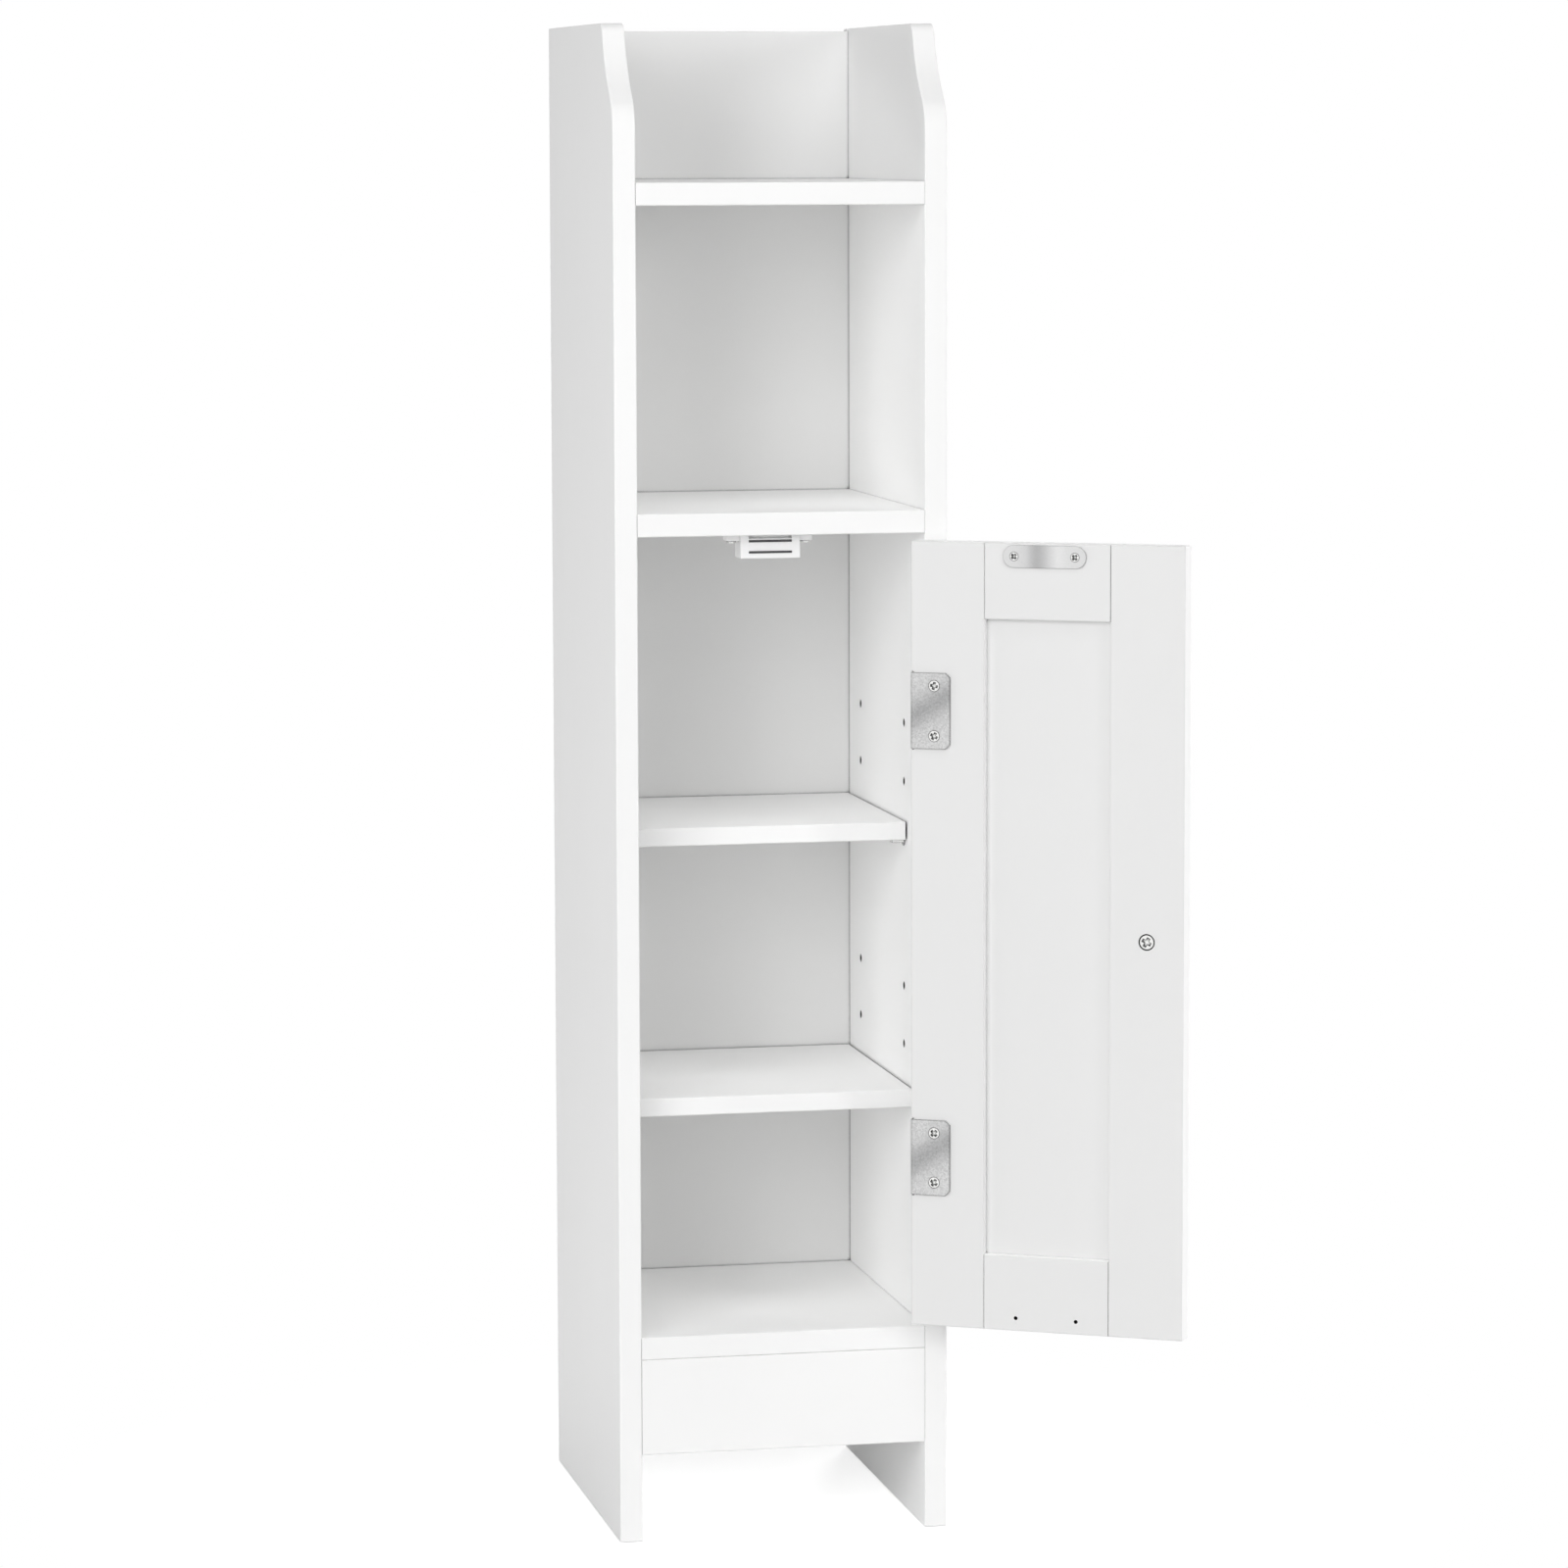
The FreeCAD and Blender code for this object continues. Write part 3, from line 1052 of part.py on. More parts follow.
def build_nodes():
    """Every sub-part of the cabinet, in the order in which it goes together."""
    leaf_screw = sheet_screw("leaf_screw", "dims.leaf_screw_shank", "dims.leaf_sheet")
    strike_screw = sheet_screw("strike_screw", "dims.screw_shank", "dims.strike_sheet")
    board_screw, pin = pan_screw(), shelf_pin()
    nodes = [side_panel("left_side_panel", -1), side_panel("right_side_panel", 1)]
    nodes += [fixed_shelf("bottom_shelf", BOTTOM_Z), middle_shelf(), fixed_shelf("top_shelf", TOP_Z)]
    nodes += [plinth_board(), back_panel(), back_panel_screws(board_screw)]
    nodes += flat_pack_joints()
    for level, row_z in (("lower", LOWER_ROW_Z), ("upper", UPPER_ROW_Z)):
        nodes.append(shelf_pins(f"{level}_shelf_pins", pin, row_z))
        nodes.append(adjustable_shelf(f"{level}_adjustable_shelf", row_z, f"dims.{level}_setback"))
    nodes += [catch_housing(), *catch_blocks(), catch_screws(board_screw)]
    for level, hinge_z in HINGE_Z.items():
        nodes.append(frame_leaf(f"{level}_hinge_frame_leaf", hinge_z))
        nodes.append(hinge_pin(f"{level}_hinge_pin", hinge_z))
        nodes.append(door_leaf(f"{level}_hinge_door_leaf", hinge_z))
    nodes += hinge_screws(leaf_screw)
    nodes += [hinge_stile(), free_stile(), door_panel()]
    strike_depth = "dims.screw_length + dims.fit_clearance"
    nodes.append(rail("door_top_rail", 1, "dims.strike_offset", SCREW_HOLE, strike_depth))
    nodes.append(rail("door_bottom_rail", -1, "0", "dims.pilot_hole", "dims.pilot_depth"))
    nodes += [strike_plate(), strike_plate_screws(strike_screw), door_knob(), knob_screw()]
    return nodes


nodes = build_nodes()
doc.recompute()
for item in doc.Objects:
    if "Invalid" in item.State or "Error" in item.State:
        raise ValueError(f"{item.Label} failed to recompute: {item.State}")
for item in nodes:
    if item.Shape.isNull() or not item.Shape.isValid():
        raise ValueError(f"{item.Label} has no valid shape")
os.makedirs("parts", exist_ok=True)
for item in nodes:
    item.Shape.exportStep(f"parts/{item.Label}.step")
print(len(nodes), "nodes,", sum(len(item.Shape.Solids) for item in nodes), "solids")
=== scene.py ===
"""Finishes, light and camera of the narrow bathroom cabinet.

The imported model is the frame: its sub-parts keep their meshes and places, in metres, and get their
finishes here.
"""
import bmesh
import json
import math
import bpy
from mathutils import Matrix, Vector


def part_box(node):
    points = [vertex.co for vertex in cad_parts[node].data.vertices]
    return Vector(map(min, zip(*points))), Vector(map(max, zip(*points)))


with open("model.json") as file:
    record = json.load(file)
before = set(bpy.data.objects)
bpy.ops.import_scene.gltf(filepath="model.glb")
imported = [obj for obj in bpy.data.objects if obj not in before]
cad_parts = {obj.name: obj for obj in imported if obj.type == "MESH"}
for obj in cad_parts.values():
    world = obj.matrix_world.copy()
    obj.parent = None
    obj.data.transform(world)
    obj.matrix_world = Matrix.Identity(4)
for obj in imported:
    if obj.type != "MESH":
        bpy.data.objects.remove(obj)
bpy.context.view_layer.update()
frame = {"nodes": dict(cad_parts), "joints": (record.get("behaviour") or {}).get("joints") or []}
NODES = frame["nodes"]
HINGE = next(joint for joint in frame["joints"] if joint["name"] == "door_hinge")

# Sub-parts by finish
SIDE_PANELS = ("left_side_panel", "right_side_panel")
CROSS_BOARDS = (
    "bottom_shelf", "middle_shelf", "top_shelf", "plinth_board",
    "lower_adjustable_shelf", "upper_adjustable_shelf",
)
DOOR_BOARDS = ("door_hinge_stile", "door_free_stile", "door_top_rail", "door_bottom_rail", "door_panel")
HINGE_LEAVES = (
    "upper_hinge_frame_leaf", "lower_hinge_frame_leaf",
    "upper_hinge_door_leaf", "lower_hinge_door_leaf",
)
HINGE_PINS = ("upper_hinge_pin", "lower_hinge_pin")
SCREWS = (
    "hinge_frame_screws", "hinge_door_screws", "strike_plate_screws", "knob_screw", "catch_screws",
    "back_panel_screws", "cam_bolts", "lower_shelf_pins", "upper_shelf_pins",
)

# Colours as written, in linear light
WHITE_PAINT = (0.935, 0.935, 0.933, 1)
BACK_PAPER = (0.75, 0.75, 0.748, 1)
# Painted shade: the grey that gaps, grooves and inner corners of the boards are darkened toward
PAINTED_SHADE_GREY = (0.12, 0.12, 0.125, 1)
# Painted shade: the near black that recesses, slots and edge lines of metal and plastic are darkened toward
PAINTED_SHADE_BLACK = (0.012, 0.012, 0.013, 1)
# Bare fibreboard in holes and grooves, darkened to near black as painted shade
BARE_FIBRE_IN_SHADE = (0.008, 0.007, 0.006, 1)
PALE_FIBRE_IN_SHADE = (0.022, 0.019, 0.016, 1)
ZINC_LIGHT = (0.66, 0.66, 0.66, 1)
# Painted reflection: the dark of the diagonal band across the hinge leaves
ZINC_PAINTED_DARK_REFLECTION = (0.3, 0.3, 0.305, 1)
NICKEL = (0.88, 0.88, 0.87, 1)
STRIKE_LIGHT = (0.74, 0.74, 0.74, 1)
# Painted reflection and painted highlight: the dark and the bright bands on the strike plate
STRIKE_PAINTED_DARK_REFLECTION = (0.33, 0.33, 0.335, 1)
STRIKE_PAINTED_HIGHLIGHT = (0.88, 0.88, 0.88, 1)
CAST_GREY = (0.42, 0.42, 0.43, 1)
POLE_GREY = (0.1, 0.1, 0.105, 1)
PLASTIC_WHITE = (0.86, 0.86, 0.86, 1)
FERRITE = (0.045, 0.045, 0.05, 1)
BEECH_LIGHT = (0.62, 0.44, 0.27, 1)
BEECH_DARK = (0.44, 0.28, 0.15, 1)
CHROME = (0.74, 0.74, 0.75, 1)
FLOOR_WHITE = (0.8, 0.8, 0.8, 1)
WHITE = (1, 1, 1, 1)

# Ways in which the carcass's faces look
FRONT, RIGHT, UP = Vector((0, -1, 0)), Vector((1, 0, 0)), Vector((0, 0, 1))

# The open door: the turn that shuts it, the way from its hinges to its knob, and how its inner face looks
DOOR_CLOSING = math.radians(min(HINGE["range_deg"]))
DOOR_ALONG = Matrix.Rotation(-DOOR_CLOSING, 3, "Z") @ -RIGHT
DOOR_INWARD = UP.cross(-DOOR_ALONG)

# Lacquer: share of the paint's tone kept on faces that get painted shade by the way they look, gloss,
# roughness, relief and eased edge
FRONT_PAINTED_SHADE, OUTER_PAINTED_SHADE, REAR_PAINTED_SHADE, DOOR_INNER_PAINTED_SHADE = 0.875, 0.92, 0.95, 0.715
LACQUER_GLOSS, LACQUER_ROUGH = 0.25, 0.45
LACQUER_RELIEF, LACQUER_EDGE = 0.00002, 0.0005

# Bored holes: width of the painted shade round their mouths and how dark it is, width along a board's
# outline that has none, and bare core darkened as painted shade
HOLE_SHADE_RIM, HOLE_SHADE_DARK, BORE_INSET = 0.0015, 0.9, 0.004
CORE_SKIN, CORE_ROUGH = 0.00028, 0.4
FIBRE_SCALE, FIBRE_DETAIL = 1500.0, 4.0

# Height up to which a side panel's outline is a plain rectangle
TRAY_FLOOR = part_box("top_shelf")[1].z

# Sprayed film: clouds, streaks drawn out along the spray gun's passes, and shares of the relief
CLOUD_SCALE, CLOUD_DETAIL = 7.0, 3.0
STREAK_SCALE, STREAK_STRETCH, STREAK_ROUGH = 160.0, (1, 1, 0.12), 0.05
STIPPLE_SHARE, STREAK_SHARE = 0.7, 0.3

# Painted shade in joints, gaps, recesses and inner corners: share of open sky at which it is full and at
# which it is gone
JOINT_FULL, JOINT_CLEAR = 0.2, 0.6
BACK_FULL, BACK_CLEAR = 0.4, 0.7
DOOR_CLEAR = 0.45
METAL_CLEAR = 0.75
SCREW_FULL, SCREW_CLEAR = 0.62, 0.9

# Cosines between two directions at which a painted edge line or a painted facing shade is full and at which
# it is gone
LINE_FULL, LINE_GONE = 0.8, 0.98
FACING_SHADE_FULL, FACING_SHADE_GONE = 0.8, 0.3

# Rays that look for neighbours round a point
SHADE_SAMPLES, LINE_SAMPLES, EDGE_SAMPLES = 6, 6, 4

# Metal: drawn lines, mottle, reliefs, reach of the painted shade in recesses, eased edges, and painted shade
# lines along edges
DRAWN_SCALE, DRAWN_STRETCH = 2500.0, (1, 1, 0.05)
CRYSTAL_SHARE, DRAWN_SHARE, MOTTLE_ROUGH = 0.5, 0.5, 0.3
FINE_RELIEF, LEAF_RELIEF, CAST_RELIEF = 0.00001, 0.00002, 0.00008
METAL_REACH, METAL_EDGE = 0.0016, 0.0003
METAL_SHADE_RIM, LEAF_SHADE_RIM = 0.0008, 0.0011
METAL_SHADE_LINE, LEAF_SHADE_LINE, SCREW_SHADE_LINE = 0.5, 0.8, 0.9

# Painted reflections: places from 0 to 1 along a plate with the colour there, and how far the leaves' bands
# lean
LEAF_PAINTED_REFLECTION = (
    (0.0, ZINC_LIGHT), (0.32, ZINC_LIGHT), (0.5, ZINC_PAINTED_DARK_REFLECTION), (0.68, ZINC_LIGHT), (1.0, ZINC_LIGHT),
)
STRIKE_PAINTED_REFLECTION = (
    (0.0, STRIKE_LIGHT), (0.28, STRIKE_LIGHT), (0.42, STRIKE_PAINTED_DARK_REFLECTION), (0.62, STRIKE_PAINTED_HIGHLIGHT),
    (0.76, STRIKE_LIGHT), (1.0, STRIKE_LIGHT),
)
LEAF_LEAN = 0.6

# Plastic, ferrite and beech: reliefs and eased edges, and the wood's grain, pores and roughness
PLASTIC_RELIEF, FERRITE_RELIEF, MOULDED_EDGE = 0.00002, 0.00006, 0.0004
GRAIN_SCALE, GRAIN_DETAIL, GRAIN_STRETCH = 900.0, 4.0, (0.08, 1, 1)
PORE_SCALE, BEECH_ROUGH = 4000.0, (0.5, 0.75)
BEECH_RELIEF, BEECH_EDGE = 0.00005, 0.0003

# Camera, as the photograph was taken: metres, radians and pixels of a 1600-pixel frame
CAMERA_PLACE = Vector((-0.77346, -3.872655, 0.930318))
CAMERA_YAW, CAMERA_PITCH, CAMERA_ROLL = 0.203729, 0.111128, -0.002729
FOCAL_PIXELS, FRAME_PIXELS = 5977.5, 1600
SENSOR_WIDTH = 36

# Studio light: grey of the room, then each soft box's name, place, aim, sides in metres and watts
ROOM_GREY = (0.02, 0.02, 0.02, 1)
SOFT_BOXES = (
    ("front_left_box", (-2.2, -2.6, 1.6), (0, 0, 0.45), (1.8, 1.8), 52.0),
    ("left_low_box", (-2.0, -2.8, 0.4), (0, 0, 0.4), (1.8, 0.7), 14.0),
    ("front_box", (-0.5, -3.4, 1.2), (0, 0, 0.45), (2.0, 2.0), 22.5),
    ("front_high_box", (0, -3.0, 2.6), (0, 0, 0.45), (2.0, 1.2), 9.0),
    ("top_front_box", (0, -1.5, 2.7), (0, 0, 0.45), (1.6, 1.2), 17.0),
    ("left_box", (-3.0, 0.2, 0.5), (0, 0, 0.3), (1.6, 1.4), 21.0),
    ("right_front_box", (1.65, -2.85, 1.2), (0, 0, 0.45), (0.7, 0.7), 17.0),
    ("right_box", (3.0, -0.3, 0.9), (0.1, 0, 0.45), (1.0, 1.6), 45.0),
    ("back_box", (1.3, 2.9, 1.8), (0, 0, 0.55), (0.8, 1.2), 45.0),
)

# Light that goes on from board to board: turns in all, and turns between dull surfaces
BOUNCES, DULL_BOUNCES = 24, 16

# Floor: its disc, its depth under the feet, and the glow that turns it white away from the object
FLOOR_RADIUS, FLOOR_SIDES, FLOOR_DEPTH = 1.8, 96, 0.0006
GLOW_NEAR, GLOW_FAR = 0.62, 1.0
GLOW_START, GLOW_END = 0.12, 0.5


def put(tree, kind, inputs=None, **settings):
    """A new node with its settings and inputs: a socket is linked, anything else is its value."""
    node = tree.nodes.new(kind)
    for name, value in settings.items():
        setattr(node, name, value)
    for key, value in (inputs or {}).items():
        if isinstance(value, bpy.types.NodeSocket):
            tree.links.new(value, node.inputs[key])
        else:
            node.inputs[key].default_value = value
    return node


def grouped(tree, group, **inputs):
    """An effect placed in a tree with its inputs; gives its outputs."""
    return put(tree, "ShaderNodeGroup", inputs, node_tree=group).outputs


def maths(tree, operation, *terms):
    """A sum, product or the like of values."""
    return put(tree, "ShaderNodeMath", dict(enumerate(terms)), operation=operation).outputs[0]


def vectors(tree, operation, *terms):
    """A sum, difference or the like of vectors; gives the outputs, a vector and a value."""
    return put(tree, "ShaderNodeVectorMath", dict(enumerate(terms)), operation=operation).outputs


def scaled(tree, colour, share):
    """A colour times a share."""
    return put(tree, "ShaderNodeVectorMath", {0: colour, "Scale": share}, operation="SCALE").outputs[0]


def spread(tree, value, low, high):
    """A value from 0 to 1 spread between two others."""
    sockets = {"Value": value, "To Min": low, "To Max": high}
    return put(tree, "ShaderNodeMapRange", sockets).outputs[0]


def rising(tree, value, gone, full, **settings):
    """Nothing up to one value, and one from another on."""
    sockets = {"Value": value, "From Min": gone, "From Max": full}
    return put(tree, "ShaderNodeMapRange", sockets, **settings).outputs[0]


def falling(tree, value, full, gone):
    """One up to one value, and nothing from another on."""
    sockets = {"Value": value, "From Min": full, "From Max": gone, "To Min": 1.0, "To Max": 0.0}
    return put(tree, "ShaderNodeMapRange", sockets).outputs[0]


def mix(tree, share, first, second):
    """A colour between two others."""
    return put(tree, "ShaderNodeMix", {0: share, 6: first, 7: second}, data_type="RGBA").outputs[2]


def noise(tree, place, scale, detail=2.0):
    """Soft random values from 0 to 1."""
    sockets = {"Vector": place, "Scale": scale, "Detail": detail}
    return put(tree, "ShaderNodeTexNoise", sockets).outputs[0]


def rest_place(tree):
    """Where a point lies at rest, in metres."""
    return put(tree, "ShaderNodeTexCoord").outputs["Object"]


def stretched(tree, place, stretch):
    """A place whose patterns are drawn out along an axis."""
    return put(tree, "ShaderNodeMapping", {"Vector": place, "Scale": stretch}).outputs[0]


def effect(name, inputs, outputs):
    """A shader node group with named sockets; gives the group, what comes in and what goes out."""
    group = bpy.data.node_groups.new(name, "ShaderNodeTree")
    for label, (kind, default) in inputs.items():
        socket = group.interface.new_socket(label, in_out="INPUT", socket_type=f"NodeSocket{kind}")
        socket.default_value = default
    for label, kind in outputs.items():
        group.interface.new_socket(label, in_out="OUTPUT", socket_type=f"NodeSocket{kind}")
    return group, group.nodes.new("NodeGroupInput").outputs, group.nodes.new("NodeGroupOutput").inputs


def leave(group, ends):
    """Links sockets to a group's outputs."""
    for socket, end in ends:
        group.links.new(socket, end)


def sprayed_film():
    """Lacquer sprayed on board: clouds of tone, a fine stipple and streaks along the spray gun's passes."""
    inputs = {
        "Colour": ("Color", WHITE_PAINT), "Place": ("Vector", (0, 0, 0)), "Clouds": ("Float", 0.03),
        "Roughness": ("Float", 0.4), "Stipple": ("Float", 700.0),
    }
    outputs = {"Colour": "Color", "Roughness": "Float", "Height": "Float"}
    group, given, made = effect("sprayed_film", inputs, outputs)
    place = given["Place"]
    clouds = noise(group, place, CLOUD_SCALE, CLOUD_DETAIL)
    streaks = noise(group, stretched(group, place, STREAK_STRETCH), STREAK_SCALE)
    stipple = noise(group, place, given["Stipple"])
    half = maths(group, "MULTIPLY", given["Clouds"], 0.5)
    tone = spread(group, clouds, maths(group, "SUBTRACT", 1.0, half), maths(group, "ADD", 1.0, half))
    colour = scaled(group, given["Colour"], tone)
    rough = maths(group, "ADD", given["Roughness"], spread(group, streaks, -STREAK_ROUGH, STREAK_ROUGH))
    stippled = maths(group, "MULTIPLY", stipple, STIPPLE_SHARE)
    streaked = maths(group, "MULTIPLY", streaks, STREAK_SHARE)
    height = maths(group, "ADD", stippled, streaked)
    leave(group, ((colour, made["Colour"]), (rough, made["Roughness"]), (height, made["Height"])))
    return group


def painted_joint_shade():
    """Painted shade: darkens narrow gaps, grooves, recesses and inner corners where little open sky is seen.

    Full and Clear are the shares of open sky at which the painted shade is full and at which it is gone.
    """
    inputs = {
        "Colour": ("Color", WHITE_PAINT), "Seam": ("Color", PAINTED_SHADE_GREY), "Reach": ("Float", 0.003),
        "Depth": ("Float", 0.85), "Full": ("Float", JOINT_FULL), "Clear": ("Float", JOINT_CLEAR),
    }
    group, given, made = effect("painted_joint_shade", inputs, {"Colour": "Color"})
    sky = put(group, "ShaderNodeAmbientOcclusion", {"Distance": given["Reach"]}, samples=SHADE_SAMPLES)
    closed = falling(group, sky.outputs["AO"], given["Full"], given["Clear"])
    dark = maths(group, "MULTIPLY", closed, given["Depth"])
    leave(group, ((mix(group, dark, given["Colour"], given["Seam"]), made["Colour"]),))
    return group


def painted_edge_line():
    """Painted shade: a dark line along an edge, where the eased face rolls over."""
    inputs = {"Colour": ("Color", ZINC_LIGHT), "Width": ("Float", METAL_SHADE_RIM), "Depth": ("Float", 0.7)}
    group, given, made = effect("painted_edge_line", inputs, {"Colour": "Color"})
    rolled = put(group, "ShaderNodeBevel", {"Radius": given["Width"]}, samples=LINE_SAMPLES).outputs[0]
    flat = put(group, "ShaderNodeNewGeometry").outputs["True Normal"]
    line = falling(group, vectors(group, "DOT_PRODUCT", rolled, flat)[1], LINE_FULL, LINE_GONE)
    dark = maths(group, "MULTIPLY", line, given["Depth"])
    leave(group, ((mix(group, dark, given["Colour"], PAINTED_SHADE_BLACK), made["Colour"]),))
    return group


def eased_edges():
    """Normals of edges that paint, plating and sanding have eased."""
    group, given, made = effect("eased_edges", {"Radius": ("Float", 0.0005)}, {"Normal": "Vector"})
    eased = put(group, "ShaderNodeBevel", {"Radius": given["Radius"]}, samples=EDGE_SAMPLES).outputs[0]
    leave(group, ((eased, made["Normal"]),))
    return group


def shaded_bare_core():
    """Bare fibreboard, darkened to near black as painted shade, wherever a surface lies deeper in a board
    than its paint, as in a bored hole.
    """
    inputs = {
        "Colour": ("Color", WHITE_PAINT), "Place": ("Vector", (0, 0, 0)), "Low": ("Vector", (0, 0, 0)),
        "High": ("Vector", (1, 1, 1)), "Skin": ("Float", CORE_SKIN),
    }
    group, given, made = effect("shaded_bare_core", inputs, {"Colour": "Color", "Bare": "Float"})
    above = vectors(group, "SUBTRACT", given["Place"], given["Low"])[0]
    below = vectors(group, "SUBTRACT", given["High"], given["Place"])[0]
    x, y, z = put(group, "ShaderNodeSeparateXYZ", {0: vectors(group, "MINIMUM", above, below)[0]}).outputs
    depth = maths(group, "MINIMUM", maths(group, "MINIMUM", x, y), z)
    bare = maths(group, "GREATER_THAN", depth, given["Skin"])
    fibres = noise(group, given["Place"], FIBRE_SCALE, FIBRE_DETAIL)
    core = mix(group, fibres, BARE_FIBRE_IN_SHADE, PALE_FIBRE_IN_SHADE)
    leave(group, ((mix(group, bare, given["Colour"], core), made["Colour"]), (bare, made["Bare"])))
    return group


def painted_facing_shade():
    """Painted shade: a surface is a shade darker where it looks one way."""
    inputs = {
        "Colour": ("Color", WHITE_PAINT), "Facing": ("Vector", (0, -1, 0)), "Dulled": ("Float", 0.9),
    }
    group, given, made = effect("painted_facing_shade", inputs, {"Colour": "Color"})
    outward = put(group, "ShaderNodeTexCoord").outputs["Normal"]
    share = rising(group, vectors(group, "DOT_PRODUCT", outward, given["Facing"])[1], FACING_SHADE_GONE, FACING_SHADE_FULL)
    facing_shaded = scaled(group, given["Colour"], given["Dulled"])
    leave(group, ((mix(group, share, given["Colour"], facing_shaded), made["Colour"]),))
    return group


def plated_skin():
    """A plated metal skin: a fine crystal mottle and a trace of drawn lines over its colour."""
    inputs = {
        "Colour": ("Color", ZINC_LIGHT), "Mottle": ("Float", 0.2), "Roughness": ("Float", 0.3),
        "Grain": ("Float", 1500.0),
    }
    outputs = {"Colour": "Color", "Roughness": "Float", "Height": "Float"}
    group, given, made = effect("plated_skin", inputs, outputs)
    place = rest_place(group)
    cells = put(group, "ShaderNodeTexVoronoi", {"Vector": place, "Scale": given["Grain"]}).outputs["Color"]
    crystals = put(group, "ShaderNodeRGBToBW", {0: cells}).outputs[0]
    lines = noise(group, stretched(group, place, DRAWN_STRETCH), DRAWN_SCALE)
    mottle = maths(group, "MULTIPLY", maths(group, "SUBTRACT", crystals, 0.5), given["Mottle"])
    colour = scaled(group, given["Colour"], maths(group, "ADD", 1.0, mottle))
    rough = maths(group, "ADD", given["Roughness"], maths(group, "MULTIPLY", mottle, MOTTLE_ROUGH))
    grown = maths(group, "MULTIPLY", crystals, CRYSTAL_SHARE)
    height = maths(group, "ADD", grown, maths(group, "MULTIPLY", lines, DRAWN_SHARE))
    leave(group, ((colour, made["Colour"]), (rough, made["Roughness"]), (height, made["Height"])))
    return group


FILM, SHADE, EDGES, SHADED_CORE = sprayed_film(), painted_joint_shade(), eased_edges(), shaded_bare_core()
FACING_SHADE, PLATING, EDGE_SHADE = painted_facing_shade(), plated_skin(), painted_edge_line()


def new_finish(name, **plain):
    """A material with its Principled shader and the values that are the same all over it."""
    material = bpy.data.materials.new(name)
    material.use_nodes = True
    tree = material.node_tree
    shader = tree.nodes["Principled BSDF"]
    for socket, value in plain.items():
        shader.inputs[socket.replace("_", " ")].default_value = value
    return material, tree, shader


def finish_with(tree, shader, colour, rough, height, relief, edge):
    """Links a finish's colour, roughness and relief, the last over eased edges."""
    normal = grouped(tree, EDGES, Radius=edge)["Normal"]
    sockets = {"Strength": 1.0, "Distance": relief, "Height": height, "Normal": normal}
    bumped = put(tree, "ShaderNodeBump", sockets).outputs[0]
    for name, socket in (("Base Color", colour), ("Roughness", rough), ("Normal", bumped)):
        tree.links.new(socket, shader.inputs[name])


def wear(material, *nodes):
    """Gives sub-parts their finish."""
    for node in nodes:
        NODES[node].material_slots[0].material = material


def squared(board, angle):
    """A board turned square to the axes about the hinge; gives the turn's shift and the board's corners."""
    pivot = Vector(HINGE["pos_m"])
    turn = Matrix.Rotation(angle, 3, "Z")
    shift = pivot - turn @ pivot
    corners = [turn @ vertex.co + shift for vertex in NODES[board].data.vertices]
    low = [min(corner[axis] for corner in corners) for axis in range(3)]
    high = [max(corner[axis] for corner in corners) for axis in range(3)]
    return shift, low, high


def within(tree, place, low, high, inset):
    """One where a place lies more than an inset inside a board's outline, seen from its side."""
    _, y, z = put(tree, "ShaderNodeSeparateXYZ", {0: place}).outputs
    share = 1.0
    for value, start, end in ((y, low[1], high[1]), (z, low[2], high[2])):
        above = maths(tree, "GREATER_THAN", value, start + inset)
        below = maths(tree, "LESS_THAN", value, end - inset)
        share = maths(tree, "MULTIPLY", share, maths(tree, "MULTIPLY", above, below))
    return share


def white_lacquer(board, paint, facing_shades, angle=0.0, cap=None, full=JOINT_FULL, clear=JOINT_CLEAR, bored=False):
    """Satin white lacquer on one board; its bored holes and grooves are bare fibreboard darkened as painted
    shade.

    Each facing shade is a way in which faces look that get painted shade, with their share of the paint's
    tone.
    The angle turns the board square, cap is the height where its plain outline ends, full and clear are the
    shares of open sky for the painted shade in its joints, and bored tells whether its holes get painted
    shade round their mouths.
    """
    material, tree, shader = new_finish(f"{board}_white_lacquer", Specular_IOR_Level=LACQUER_GLOSS)
    shift, low, high = squared(board, angle)
    if cap is not None:
        high[2] = cap
    turned = {"Vector": rest_place(tree), "Location": shift, "Rotation": (0, 0, angle)}
    place = put(tree, "ShaderNodeMapping", turned).outputs[0]
    for facing, share in facing_shades:
        paint = grouped(tree, FACING_SHADE, Colour=paint, Facing=facing, Dulled=share)["Colour"]
    film = grouped(tree, FILM, Colour=paint, Place=place, Roughness=LACQUER_ROUGH)
    # Painted shade in the board's joints, grooves and inner corners
    colour = grouped(tree, SHADE, Colour=film["Colour"], Full=full, Clear=clear)["Colour"]
    if bored:
        # Painted shade round the mouths of bored holes
        hole_shade = maths(tree, "MULTIPLY", within(tree, place, low, high, BORE_INSET), HOLE_SHADE_DARK)
        colour = grouped(tree, EDGE_SHADE, Colour=colour, Width=HOLE_SHADE_RIM, Depth=hole_shade)["Colour"]
    core = grouped(tree, SHADED_CORE, Colour=colour, Place=place, Low=low, High=high)
    rough = maths(tree, "ADD", film["Roughness"], maths(tree, "MULTIPLY", core["Bare"], CORE_ROUGH))
    finish_with(tree, shader, core["Colour"], rough, film["Height"], LACQUER_RELIEF, LACQUER_EDGE)
    return material


def along(tree, centre, direction):
    """How far a point lies from a centre along a direction, in the direction's own lengths."""
    away = vectors(tree, "SUBTRACT", rest_place(tree), centre)[0]
    return vectors(tree, "DOT_PRODUCT", away, direction / direction.length_squared)[1]


